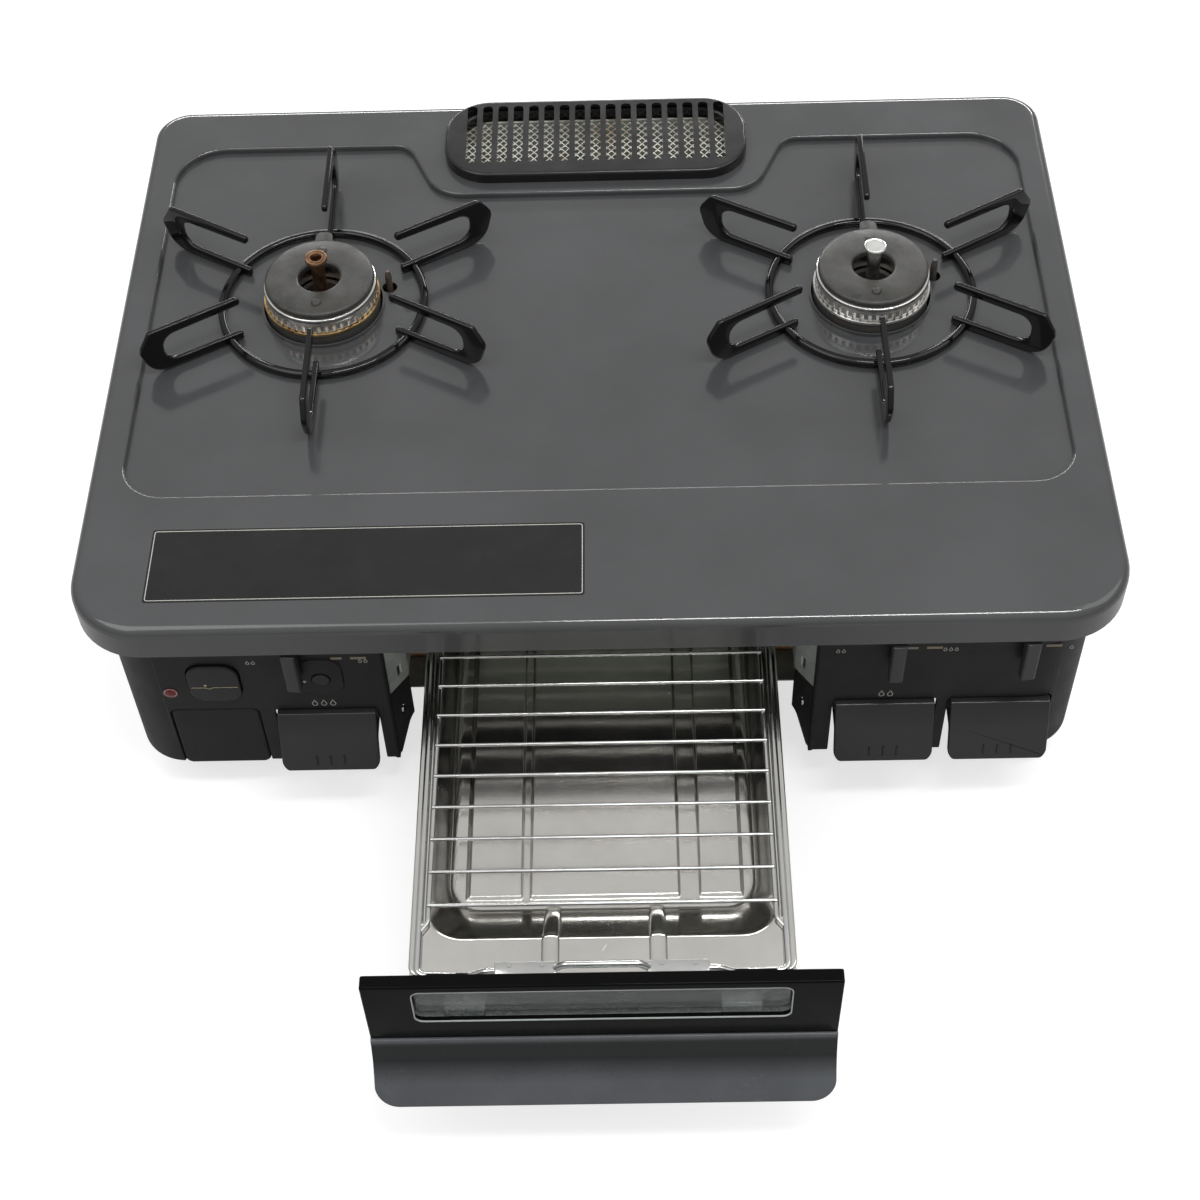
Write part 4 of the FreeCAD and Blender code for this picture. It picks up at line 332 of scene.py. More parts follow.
BRASS_HOT = metal("heated_brass", (0.6, 0.42, 0.2), 0.26, (1, 1, 6), 200, 0.1, (0.2, 0.11, 0.05), 60, 0.5)
DISC = metal("sensor_disc", (0.78, 0.78, 0.76), 0.2, (1, 1, 1), 300, 0.06)
TRIVET = enamel("trivet_enamel", (0.003, 0.003, 0.003), 0.07, 0.03, 0.1, 0.4, 0.0)
MARK = plastic("grip_mark", (0.012, 0.012, 0.012), 0.3, 0.05)
PRINT = plastic("pale_print", (0.42, 0.41, 0.38), 0.5, 0.03)
SCALE = plastic("tan_print", (0.24, 0.2, 0.14), 0.5, 0.03)
GOLD = metal("gold_print", (0.5, 0.42, 0.26), 0.4, scale=500, grain=0.03, metallic=0.5)
FILM = plastic("dark_film", (0.009, 0.009, 0.009), 0.3, 0.03, 600, 0.06, shine=0.3)
LAMP_RIM = plastic("lamp_rim", (0.34, 0.2, 0.19), 0.25, 0.03)
GLASS_EDGE = plastic("glass_edge", (0.42, 0.45, 0.43), 0.2, 0.03)

GLASS = glass_material()
LAMP = lamp_material()

FINISHES = (
    (PLATE, "top_plate"),
    (BLACK, "exhaust_cover left_trivet right_trivet"),
    (MESH, "exhaust_mesh"),
    (CASE, "left_side_panel right_side_panel"),
    (ZINC, "rear_panel bottom_plate left_inner_plate right_inner_plate chamber_left_wall "
           "chamber_right_wall chamber_floor chamber_ceiling exhaust_duct grill_burner"),
    (RUBBER, "feet"),
    (PANEL, "left_front_panel right_front_panel battery_drawer"),
    (CAST, "left_burner_body right_burner_body left_thermocouple right_thermocouple"),
    (RING, "left_burner_ring right_burner_ring"),
    (CAP, "left_burner_cap right_burner_cap"),
    (COPPER, "left_sensor gas_pipe"),
    (STEEL, "right_sensor left_sensor_spring right_sensor_spring case_screws drawer_carriage"),
    (CERAMIC, "left_electrode right_electrode"),
    (VALVE, "left_valve right_valve grill_valve"),
    (BRASS, "gas_inlet"),
    (PALE, "igniter_unit battery_case"),
    (CELL, "batteries"),
    (LAMP, "battery_lamp"),
    (BUTTON, "left_button right_button grill_button"),
    (LEVER, "left_lever right_lever grill_lever"),
    (KEY, "mode_button high_heat_button"),
    (DOOR, "door_panel"),
    (GLASS, "door_glass"),
    (HANDLE, "door_handle"),
    (STAINLESS, "grill_tray"),
    (WIRE, "grill_net"),
)
FINISH = {node: finish for finish, nodes in FINISHES for node in nodes.split()}
for name, node in NODES.items():
    node.data.materials.clear()
    node.data.materials.append(FINISH[name])


# Mesh helpers
HOUSE = (0.0, PLATE_Y, 0.0)                  # the plate's middle
DRAWER = (0.0, PLATE_Y - DRAWER_OUT, 0.0)    # the same point, moved out with the drawer
MERGE, FLAT_ANGLE = 2e-6, 0.1                # in metres and degrees
BEVEL_ANGLE, SHARP_ANGLE = 25, 40
BODY_OF = {node: body for body, members in frame["record"]["behaviour"]["bodies"].items() for node in members}
SLOT_OF = {part["node"]: part["material_slot"] for part in frame["record"]["subparts"]}


def new_object(name, data):
    thing = bpy.data.objects.new(name, data)
    bpy.context.scene.collection.objects.link(thing)
    return thing


def smooth(mesh, sharp):
    """Shade smooth, apart from edges sharper than an angle."""
    mesh.polygons.foreach_set("use_smooth", [True] * len(mesh.polygons))
    mesh.set_sharp_from_angle(angle=radians(sharp))


def finish_mesh(name, bm, material, body, slot, at, replaced, sharp):
    """Turn a bmesh in millimetres into a piece that rides on its body."""
    bmesh.ops.recalc_face_normals(bm, faces=bm.faces)
    mesh = bpy.data.meshes.new(name)
    bm.to_mesh(mesh)
    bm.free()
    mesh.transform(Matrix.Translation(Vector(at)) @ Matrix.Scale(0.001, 4))
    smooth(mesh, sharp)
    mesh.materials.append(material)
    piece = new_object(name, mesh)
    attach(piece, body)
    if replaced:
        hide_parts(*replaced)
    return piece


def rings_mesh(bm, rings, closed_ends=False, cap_ends=False):
    """Join closed rings of points into quads. Each ring has the same number of points."""
    rows = [[bm.verts.new(p) for p in ring] for ring in rings]
    count = len(rows[0])
    last = len(rows) if closed_ends else len(rows) - 1
    for i in range(last):
        upper, lower = rows[i], rows[(i + 1) % len(rows)]
        for k in range(count):
            m = (k + 1) % count
            bm.faces.new((upper[k], upper[m], lower[m], lower[k]))
    if cap_ends:
        bm.faces.new(rows[0])
        bm.faces.new(list(reversed(rows[-1])))
    return rows


def round_corners(points, bends, closed=False, steps=6):
    """A polyline whose corners become arcs. An arc takes less than half of the lines beside it."""
    straight, most = 0.02, 0.49
    points = [Vector(p) for p in points]
    count = len(points)
    bends = [bends] * count if isinstance(bends, (int, float)) else bends
    line = []
    for i, p in enumerate(points):
        if bends[i] <= 0 or (not closed and i in (0, count - 1)):
            line.append(p)
            continue
        before, after = points[i - 1] - p, points[(i + 1) % count] - p
        turn = pi - before.angle(after)
        if turn < straight:
            line.append(p)
            continue
        cut = min(bends[i] * tan(turn / 2), before.length * most, after.length * most)
        radius = cut / tan(turn / 2)
        centre = p + (before.normalized() + after.normalized()).normalized() * (radius / cos(turn / 2))
        start = p + before.normalized() * cut - centre
        end = p + after.normalized() * cut - centre
        axis = start.cross(end).normalized()
        for k in range(steps + 1):
            line.append(centre + Matrix.Rotation(turn * k / steps, 3, axis) @ start)
    return line


def add_tube(bm, line, radius, sides=10, closed=False):
    """Sweep a circle along a line without twist."""
    line = [Vector(p) for p in line]
    count = len(line)
    tangents = []
    for i in range(count):
        a = line[i - 1] if (i > 0 or closed) else line[i]
        b = line[(i + 1) % count] if (i < count - 1 or closed) else line[i]
        tangents.append((b - a).normalized())
    side = tangents[0].orthogonal().normalized()
    rings = []
    for i in range(count):
        if i:
            side = (side - tangents[i] * side.dot(tangents[i])).normalized()
        across = tangents[i].cross(side)
        ring = []
        for k in range(sides):
            turn = 2 * pi * k / sides
            ring.append(line[i] + radius * (cos(turn) * side + sin(turn) * across))
        rings.append(ring)
    rings_mesh(bm, rings, closed_ends=closed, cap_ends=not closed)


def circle_points(x, y, radius, count):
    """Points (u, v) round a circle."""
    turns = [2 * pi * k / count for k in range(count)]
    return [(x + radius * cos(t), y + radius * sin(t)) for t in turns]


def add_lathe(bm, profile, centre, count=96):
    """Turn a closed profile of (radius, height) about an upright axis."""
    x, y, level = centre
    rings = []
    for radius, height in profile:
        rings.append([(u, v, level + height) for u, v in circle_points(x, y, radius, count)])
    rings_mesh(bm, rings, closed_ends=True)


def add_prism(bm, outline, low, high, lift, edge=0.0, steps=3):
    """A plate between two levels with rounded rims. lift turns (u, v, w) into a place."""
    flat = [Vector((p[0], p[1], 0)) for p in outline]
    count = len(flat)
    pairs = zip(flat, flat[1:] + flat[:1])
    if sum(a.x * b.y - b.x * a.y for a, b in pairs) < 0:
        flat.reverse()
    normals = []
    for i in range(count):
        a, b = (flat[i] - flat[i - 1]).normalized(), (flat[(i + 1) % count] - flat[i]).normalized()
        along = (a + b).normalized()
        normals.append(Vector((along.y, -along.x, 0)))

    def ring(inset, level):
        return [Vector(lift(p.x - n.x * inset, p.y - n.y * inset, level)) for p, n in zip(flat, normals)]

    rings = []
    if edge > 0:
        for k in range(steps + 1):
            turn = pi / 2 * k / steps
            rings.append(ring(edge * (1 - sin(turn)), low + edge * (1 - cos(turn))))
        for k in range(steps, -1, -1):
            turn = pi / 2 * k / steps
            rings.append(ring(edge * (1 - sin(turn)), high - edge * (1 - cos(turn))))
    else:
        rings = [ring(0, low), ring(0, high)]
    rings_mesh(bm, rings, cap_ends=True)


def soften(node, width, like=None):
    """The node's own shape, or that of its twin, with edges rounded as on a moulding or pressing."""
    bm = bmesh.new()
    bm.from_mesh(NODES[like or node].data)
    if like:
        bmesh.ops.translate(bm, verts=bm.verts, vec=Vector(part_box(node)[0]) - Vector(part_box(like)[0]))
    bmesh.ops.remove_doubles(bm, verts=bm.verts, dist=MERGE)
    bmesh.ops.dissolve_limit(bm, angle_limit=radians(FLAT_ANGLE), verts=bm.verts, edges=bm.edges)
    bm.verts.index_update()
    places = [tuple(v.co) for v in bm.verts]
    faces = [[v.index for v in face.verts] for face in bm.faces]
    bm.free()
    mesh = bpy.data.meshes.new(node + "_finished")
    mesh.from_pydata(places, [], faces)
    mesh.materials.append(FINISH[node])
    smooth(mesh, SHARP_ANGLE)
    piece = new_object(node + "_finished", mesh)
    bevel = piece.modifiers.new("rounding", "BEVEL")
    bevel.width = width * 0.001
    bevel.segments = 2
    bevel.limit_method = "ANGLE"
    bevel.angle_limit = radians(BEVEL_ANGLE)
    bevel.use_clamp_overlap = False
    bevel.harden_normals = True
    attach(piece, BODY_OF[node])
    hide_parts(node)


# Burners and pan supports. Lengths are in millimetres from here on, with the origin at the plate's middle.
RIM = 162.0            # top plate's rim above the feet's plane
WELL = 158.0           # floor of the recess
SIDES = (("left", -161.0), ("right", 161.0))
BURNER_BACK = 34.0     # burners' axes behind the plate's middle
NOTHING = 0.02         # radius that closes a turned form on its axis


def rectangle(left, right, low, high):
    return [(left, low, 0), (right, low, 0), (right, high, 0), (left, high, 0)]


def make_flame_ring(side, x):
    """Slotted flame ring: a band of teeth between two smooth bands, on a seat that is brass on the left."""
    slots, steps_per_slot, steps_open = 44, 6, 2
    slot_low, slot_high, slot_depth = 5.2, 10.2, 2.6
    count = slots * steps_per_slot

    def ring(radius, height, notch=0.0):
        points = []
        for k in range(count):
            turn = 2 * pi * (k + 0.5) / count
            r = radius - (notch if k % steps_per_slot < steps_open else 0.0)
            points.append((x + r * cos(turn), BURNER_BACK + r * sin(turn), RIM + height))
        return points

    bm = bmesh.new()
    below = [ring(31.0, 3.2), ring(32.6, 3.2), ring(32.8, 3.6), ring(32.8, slot_low)]
    slotted = [ring(32.8, slot_low, slot_depth), ring(32.8, slot_high, slot_depth)]
    above = [ring(32.8, slot_high), ring(32.9, 11.6), ring(33.0, 12.0), ring(33.0, 14.0), ring(32.7, 14.6),
             ring(32.2, 14.9)]
    inside = [ring(15.6, 14.9), ring(15.6, 4.0), ring(17.0, 4.0), ring(17.0, 13.0), ring(31.0, 13.0)]
    rings_mesh(bm, below + slotted + above + inside, closed_ends=True)
    body = side + "_burner_head"
    finish_mesh(side + "_flame_ring", bm, RING, body, "aluminium", HOUSE, [side + "_burner_ring"], 32)
    seat = bmesh.new()
    section = [(33.0, 3.1), (33.9, 3.1), (34.2, 3.4), (34.2, 4.9), (33.9, 5.2), (33.0, 5.2)]
    add_lathe(seat, section, (x, BURNER_BACK, RIM))
    finish, slot = (BRASS_HOT, "brass") if side == "left" else (RING, "aluminium")
    finish_mesh(side + "_ring_seat", seat, finish, body, slot, HOUSE, [], 40)


def make_cap(side, x):
    """Burner cap: a disc with a rolled edge, two bumps and a tongue at the back."""
    bump_place = 22.0
    bm = bmesh.new()
    edge = [(12.0, 15.0), (31.2, 15.0), (31.8, 15.4), (32.0, 16.2), (31.9, 17.6), (31.2, 18.5), (30.0, 18.9)]
    top = [(22.0, 19.0), (14.0, 19.0), (13.0, 18.9), (12.3, 18.4), (12.0, 17.6)]
    add_lathe(bm, edge + top, (x, BURNER_BACK, RIM))
    dome = [(NOTHING, 18.6), (3.0, 18.6), (2.9, 19.2), (2.5, 20.0), (1.7, 20.4), (NOTHING, 20.5)]
    for way in (-1, 1):
        add_lathe(bm, dome, (x, BURNER_BACK + way * bump_place, RIM), 28)
    tongue = round_corners([(-5.5, 29.0, 0), (5.5, 29.0, 0), (4.8, 40.0, 0), (-4.8, 40.0, 0)],
                           [0.5, 0.5, 4.0, 4.0], True)
    add_prism(bm, tongue, 15.05, 17.4, lambda u, v, w: (x + u, BURNER_BACK + v, RIM + w), 0.6)
    finish_mesh(side + "_cap", bm, CAP, side + "_burner_head", "cap", HOUSE, [side + "_burner_cap"], 38)


def make_sensor(side, x):
    """Pan sensor: a tube with a head, hollow on the left and a pressed disc on the right."""
    head = 30.4 if side == "left" else 31.0
    tube = [(2.8, -47.5), (3.9, -47.5), (3.9, head - 0.8), (4.4, head - 0.2), (6.2, head + 0.9),
            (6.5, head + 1.4)]
    bore = [(0.05, 24.0), (2.8, 24.0)]
    if side == "left":
        rim = [(6.5, 33.3), (6.2, 33.8), (5.7, 33.9), (5.4, 33.5), (4.6, 33.5), (4.3, 33.9), (3.5, 33.9),
               (3.0, 33.3), (2.6, 31.0), (2.4, 27.0), (0.05, 26.6)]
        finish, slot = COPPER, "copper"
    else:
        rim = [(6.5, 33.2), (6.2, 33.8), (5.6, 34.0), (5.2, 33.8), (4.9, 33.5), (0.05, 33.5)]
        finish, slot = DISC, "steel"
    bm = bmesh.new()
    add_lathe(bm, tube + rim + bore, (x, BURNER_BACK, RIM), 56)
    body = side + "_pan_sensor"
    finish_mesh(body + "_tube", bm, finish, body, slot, HOUSE, [side + "_sensor"], 34)


def make_spring(side, x):
    """Spring under a pan sensor, its end coils closed."""
    node = side + "_sensor_spring"
    foot, head = [corner[2] * 1000 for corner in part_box(side + "_sensor_spring")]
    coils, coil_radius, wire_radius, steps = 7, 3.65, 0.4, 20
    end_rise = 0.9
    open_rise = head - foot - 2 * wire_radius - 2 * end_rise
    line = []
    for k in range(coils * steps + 1):
        turn, coil = 2 * pi * k / steps, k / steps
        first, last = min(coil, 1.0), max(0.0, coil - coils + 1)
        share = min(1.0, max(0.0, (coil - 1) / (coils - 2)))
        rise = foot + wire_radius + first * end_rise + share * open_rise + last * end_rise
        line.append((x + coil_radius * cos(turn), BURNER_BACK + coil_radius * sin(turn), rise))
    bm = bmesh.new()
    add_tube(bm, line, wire_radius, 8)
    piece = finish_mesh(side + "_spring_coil", bm, STEEL, BODY_OF[node], SLOT_OF[node], HOUSE, [node], 60)
    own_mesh(piece)


def make_trivet(side, x):
    """Pan support: a wire ring under six flat hairpin fingers with rolled edges."""
    ring_radius, wire_radius, half_thickness = 59.5, 2.5, 1.7
    bm = bmesh.new()
    circle = [(u, v, WELL + wire_radius) for u, v in circle_points(x, BURNER_BACK, ring_radius, 120)]
    add_tube(bm, circle, wire_radius, 12, closed=True)
    corners = [(51.5, 0.6), (108, 0.6), (114, 20), (106, 32), (50, 32), (50, 26.6), (99, 25.6), (99, 6.8),
               (51.5, 6.2)]
    bends = [1.4, 14, 7, 4, 2.6, 2.4, 8, 8, 1.4]
    finger = round_corners([(out, up, 0) for out, up in corners], bends, True, 7)
    for i in range(6):
        turn = radians(90 + 60 * i)
        c, s = cos(turn), sin(turn)

        def lift(u, v, w):
            return (x + u * c - w * s, BURNER_BACK + u * s + w * c, WELL + v)

        add_prism(bm, finger, -half_thickness, half_thickness, lift, 1.1, 3)
    finish_mesh(side + "_pan_support_wire", bm, TRIVET, side + "_pan_support", "black_enamel", HOUSE,
                [side + "_trivet"], 50)


for side, x in SIDES:
    make_flame_ring(side, x)
    make_cap(side, x)
    make_sensor(side, x)
    make_spring(side, x)
    make_trivet(side, x)


# Exhaust
def make_expanded_mesh():
    """Expanded metal under the exhaust cover: rows of zigzag strands that meet at their points."""
    half, front, back, level = 84.9, 127.6, 195.9, 158.5
    step, row = 2.425, 3.0
    strand_half, below, above, twist = 0.5, 0.3, 0.15, 0.3
    columns = int(2 * half / step)
    start = -columns * step / 2
    bm = bmesh.new()
    for j in range(int((back - front) / row)):
        rings = []
        for i in range(columns + 1):
            up = (i + j) % 2
            near, far = front + (j + up) * row - strand_half, front + (j + up) * row + strand_half
            tilt = twist if up else -twist
            x = start + i * step
            rings.append([(x, near, level - below - tilt), (x, near, level + above - tilt),
                          (x, far, level + above + tilt), (x, far, level - below + tilt)])
        rings_mesh(bm, rings, cap_ends=True)
    corners = rectangle(-half - 0.4, half + 0.4, front - 0.6, back + 0.5)
    border = round_corners([(u, v, level) for u, v, w in corners], 3, True)
    add_tube(bm, border, 0.45, 6, closed=True)
    finish_mesh("expanded_mesh", bm, MESH, "casing", "mesh", HOUSE, ["exhaust_mesh"], 30)


make_expanded_mesh()


# Grill tray, in the closed drawer's place
TRAY_RIM = 106.0         # top of the flange
TRAY_DEPTH = 30.0        # from the flange down to the floor
TRAY_FLOOR = TRAY_RIM - TRAY_DEPTH
WELL_HALF, WELL_FRONT, WELL_BACK = 86.0, -163.0, 69.0


def tray_loop(half, front, back, radius, side_level, front_level, corner=9, across=60, along=50):
    """One rounded outline of the pan, from the middle of its back. Its level may differ at the front."""
    points = []

    def arc(cx, cy, start, low, high):
        for k in range(corner):
            t = k / (corner - 1)
            turn = start + t * pi / 2
            level = low + (high - low) * sin(t * pi / 2) ** 2
            points.append((cx + radius * cos(turn), cy + radius * sin(turn), level))

    def run(a, b, count, level):
        for k in range(1, count):
            t = k / count
            points.append((a[0] + (b[0] - a[0]) * t, a[1] + (b[1] - a[1]) * t, level))

    arc(half - radius, back - radius, 0, side_level, side_level)
    run((half - radius, back), (-half + radius, back), across, side_level)
    arc(-half + radius, back - radius, pi / 2, side_level, side_level)
    run((-half, back - radius), (-half, front + radius), along, side_level)
    arc(-half + radius, front + radius, pi, side_level, front_level)
    run((-half + radius, front), (half - radius, front), across, front_level)
    arc(half - radius, front + radius, 1.5 * pi, front_level, side_level)
    run((half, front + radius), (half, back - radius), along, side_level)
    return points


def wall_profile(run, count_wall=6):
    """Distance in and drop of a leaning wall, with a rolled lip and a filleted foot."""
    steps = 6
    corners = [(-6, 0, 0), (0, 0, 0), (run, -TRAY_DEPTH, 0), (run + 9, -TRAY_DEPTH, 0)]
    line = round_corners(corners, [0, 3.2, 6.5, 0], False, steps)
    lip, foot = line[1:steps + 2], line[steps + 2:2 * steps + 3]
    wall = [lip[-1].lerp(foot[0], k / count_wall) for k in range(1, count_wall)]
    return [(p.x, p.y) for p in lip + wall + foot]


def loop_edges(bm, verts):
    return [bm.edges.get((verts[k], verts[(k + 1) % len(verts)])) for k in range(len(verts))]


def add_tray_floor(bm, outer):
    """The floor: three raised fields with sunk channels between them, joined to the wall's foot."""
    steps = [(-71.0, -68.4), (-42.6, -41.2), (-38.0, -36.6), (38.6, 40.0), (49.4, 50.8), (71.0, 72.6)]
    fields = list(zip(steps[::2], steps[1::2]))
    front_end, back_end, slope, field_rise = -124.5, 55.0, 2.2, 1.5
    grid_x = {-74.0, 74.5} | {-60.0, -50.0, -25.0, -12.0, 0.0, 12.0, 25.0, 57.0, 64.0}
    for a, b in steps:
        grid_x |= {a - 0.5, a, (2 * a + b) / 3, (a + 2 * b) / 3, b, b + 0.5}
    grid_x = sorted(grid_x)
    grid_y = [front_end + t for t in (-1.0, 0, 0.7, 1.4, 2.2, 2.8)] + [-100 + 25 * k for k in range(6)]
    grid_y += [back_end + t for t in (-2.8, -2.2, -1.4, -0.7, 0, 1)]

    def ease(value, low, high):
        t = min(1.0, max(0.0, (value - low) / (high - low)))
        return t * t * (3 - 2 * t)

    def height(x, y):
        lift = sum(ease(x, *rise) - ease(x, *fall) for rise, fall in fields)
        ends = ease(y, front_end, front_end + slope) * (1 - ease(y, back_end - slope, back_end))
        return TRAY_FLOOR + field_rise * lift * ends

    rows = [[bm.verts.new((x, y, height(x, y))) for x in grid_x] for y in grid_y]
    for lower, upper in zip(rows, rows[1:]):
        for k in range(len(grid_x) - 1):
            bm.faces.new((lower[k], lower[k + 1], upper[k + 1], upper[k]))
    right, left = [row[-1] for row in rows[1:-1]], [row[0] for row in rows[1:-1]]
    rim = rows[0] + right + rows[-1][::-1] + left[::-1]
    bmesh.ops.triangle_fill(bm, edges=outer + loop_edges(bm, rim), use_beauty=True, normal=(0, 0, 1))


def add_tray_rib(bm, middle, front_wall):
    """A rib pressed up through the front wall and the flange. It fades out at the floor."""
    rib_half, rib_rise, sunk, under = 4.6, 1.7, 0.15, 0.5
    wall = [(WELL_FRONT + a, TRAY_RIM + b) for a, b in front_wall]
    spine = [(-183.6, TRAY_RIM)] + wall + [(-128.4, TRAY_FLOOR)]
    rings = []
    for k, (y, z) in enumerate(spine):
        before, after = spine[max(0, k - 1)], spine[min(len(spine) - 1, k + 1)]
        along = Vector((after[0] - before[0], after[1] - before[1])).normalized()
        out = Vector((-along.y, along.x))
        fade = sqrt(min(1.0, (len(spine) - 1 - k) / 5.0))
        tall, half = rib_rise * fade, rib_half * (0.55 + 0.45 * fade)
        ring = []
        for m in range(13):
            t = m / 12
            rise = tall * sin(pi * t) ** 0.4
            ring.append((middle - half + 2 * half * t, y + out.x * rise, z + out.y * rise - sunk))
        for edge in (half, -half):
            ring.append((middle + edge, y - out.x * under, z - out.y * under - sunk))
        rings.append(ring)
    rings_mesh(bm, rings, cap_ends=True)


def make_tray():
    """Pressed pan: a flange with a turned edge, leaning walls, a floor with three fields, and two ribs."""
    bm = bmesh.new()
    flange = ((95.0, -183.0, 78.0, 6, TRAY_RIM - 1.4), (95.0, -183.0, 78.0, 6, TRAY_RIM - 0.6),
              (94.6, -182.6, 77.6, 6, TRAY_RIM - 0.1), (94.0, -182.0, 77.0, 6, TRAY_RIM),
              (90.0, -174.0, 73.0, 14, TRAY_RIM))
    loops = [tray_loop(*edge, edge[-1]) for edge in flange]
    side_wall, front_wall = wall_profile(7.0), wall_profile(32.0)
    top_radius, radius_loss = 18, 4
    for k, ((side_in, side_drop), (front_in, front_drop)) in enumerate(zip(side_wall, front_wall)):
        radius = top_radius - radius_loss * k / len(side_wall)
        loops.append(tray_loop(WELL_HALF - side_in, WELL_FRONT + front_in, WELL_BACK - side_in, radius,
                               TRAY_RIM + side_drop, TRAY_RIM + front_drop))
    foot = rings_mesh(bm, loops)[-1]
    add_tray_floor(bm, loop_edges(bm, foot))
    for middle in (-25.5, 27.5):
        add_tray_rib(bm, middle, front_wall)
    # A small arrow mark stamped on the front flange.
    tip, tails = (0.0, -170.6, TRAY_RIM), ((-1.8, -167.2, TRAY_RIM), (1.8, -167.2, TRAY_RIM))
    add_tube(bm, [tails[0], tip], 0.3, 6)
    add_tube(bm, [tip, tails[1]], 0.3, 6)
    finish_mesh("grill_pan", bm, STAINLESS, "tray", "stainless", DRAWER, ["grill_tray"], 60)


make_tray()


# Grill net
def make_net():
    """Round wires: a frame that is bent up at the front, two side wires, cross wires and two clip plates."""
    level, half, front, back = 108.05, 90.5, -184.5, 73.0
    step_up, loop_up = 5, 10.5
    right_side = [(18, front, level + loop_up), (24, front, level + step_up), (56, front, level + step_up),
                  (half - 26, front, level), (half, front + 1, level), (half, back - 30, level)]
    left_side = [(-x, y, z) for x, y, z in reversed(right_side)]
    tail = [(half, back, level), (-half, back, level)]
    bends = [0, 4.5, 9, 8, 4, 4, 4, 4, 8, 9, 4.5, 0, 12, 12]
    bm = bmesh.new()
    add_tube(bm, round_corners(left_side + right_side + tail, bends, True, 6), 1.9, 12, closed=True)
    clip_middle, clip_half, side_place = 37, 15, 86.2
    stud = [(NOTHING, 0), (1.3, 0), (1.1, 0.4), (NOTHING, 0.55)]
    for side in (-1, 1):
        side_wire = round_corners([(side * half, front + 24, level), (side * side_place, front + 30, level),
                                   (side * side_place, back - 4, level)], 6, False, 5)
        add_tube(bm, side_wire, 1.5, 10)
        middle = side * clip_middle
        plate = rectangle(middle - clip_half, middle + clip_half, front - 3.2, front + 3.6)
        add_prism(bm, round_corners(plate, 1.2, True, 3), level + 6.5, level + 7.7,
                  lambda u, v, w: (u, v, w), 0.35, 2)
        for spot in (-8, 8):
            add_lathe(bm, stud, (middle + spot, front + 1.6, level + 7.6), 14)
    first_wire, pitch, wire_end = -146.0, 19.16, 86.8
    for i in range(12):
        y = first_wire + i * pitch
        add_tube(bm, [(-wire_end, y, level + 1.7), (wire_end, y, level + 1.6)], 1.0, 10)
    finish_mesh("roasting_net", bm, WIRE, "net", "wire", DRAWER, ["grill_net"], 55)


make_net()


# Door handle
def handle_profile():
    """Outline across the handle as (y, z): down its face from the ridge to the lip, and back up behind."""
    face = round_corners([(-197.0, 82.0, 0), (-205.4, 82.0, 0), (-206.2, 77.4, 0), (-209.4, 67.4, 0),
                          (-213.4, 60.0, 0), (-223.6, 46.2, 0), (-222.6, 43.95, 0)],
                         [0, 1.2, 1.6, 9, 10, 1.2, 0], False, 6)
    hollow_top, hollow_width, hollow_depth, grain = 76.0, 9.0, 0.9, 1.3
    hollowed = []
    for p in face:
        t = min(1.0, max(0.0, (hollow_top - p.y) / hollow_width))
        hollowed.append((p.x + hollow_depth * sin(pi * t) ** 2, p.y))
    line = [hollowed[0]]
    for a, b in zip(hollowed, hollowed[1:]):
        parts = max(1, int(dist(a, b) / grain))
        for k in range(1, parts + 1):
            line.append((a[0] + (b[0] - a[0]) * k / parts, a[1] + (b[1] - a[1]) * k / parts))
    behind = round_corners([(-221.0, 44.4, 0), (-207.6, 58.6, 0), (-200.2, 68.6, 0), (-197.0, 69.2, 0)],
                           [0, 8, 3, 0], False, 5)
    return line + [(p.x, p.y) for p in behind]


def make_handle():
    """Moulded handle: a ridge, a shallow hollow below it and a leaning lip with rounded corners."""
    profile = handle_profile()
    half, corner, corner_steps, middle_steps = 114.5, 12.0, 14, 30
    lip_top, lip_height, end_step = 60.0, 14.5, 0.32
    lean = Vector((10.2, 13.8)).normalized()
    left = [-half + corner * (1 - cos(pi / 2 * k / corner_steps)) for k in range(corner_steps + 1)]
    span = 2 * half - 2 * corner
    between = [-half + corner + span * k / middle_steps for k in range(1, middle_steps)]
    rings = []
    for x in left + between + [-x for x in reversed(left)]:
        near = max(0.0, corner - (half - abs(x)))
        cut = corner - sqrt(max(0.0, corner ** 2 - near ** 2))
        inset = end_step if abs(x) > half - 0.05 else 0.0
        ring = []
        for y, z in profile:
            share = min(1.0, max(0.0, (lip_top - z) / lip_height))
            ring.append((x, y + lean.x * cut * share + inset, z + lean.y * cut * share))
        rings.append(ring)
    bm = bmesh.new()
    rings_mesh(bm, rings, cap_ends=True)
    finish_mesh("handle_shell", bm, HANDLE, "grill_drawer", SLOT_OF["door_handle"], DRAWER,
                ["door_handle"], 50)


make_handle()


# Edges of mouldings and pressings
EDGES = (
    (0.5, "left_front_panel right_front_panel battery_drawer"),
    (0.8, "left_button right_button"),
    (0.6, "left_lever right_lever grill_lever"),
    (0.4, "mode_button high_heat_button door_panel"),
    (0.3, "drawer_carriage"),
)
for width, nodes in EDGES:
    for node in nodes.split():
        soften(node, width)
soften("grill_button", 0.8, like="right_button")


# Prints and small marks
FACE = -200.5                                # front of the panels
BUTTONS = (("left", -152.0), ("right", 155.5), ("grill", 218.8))


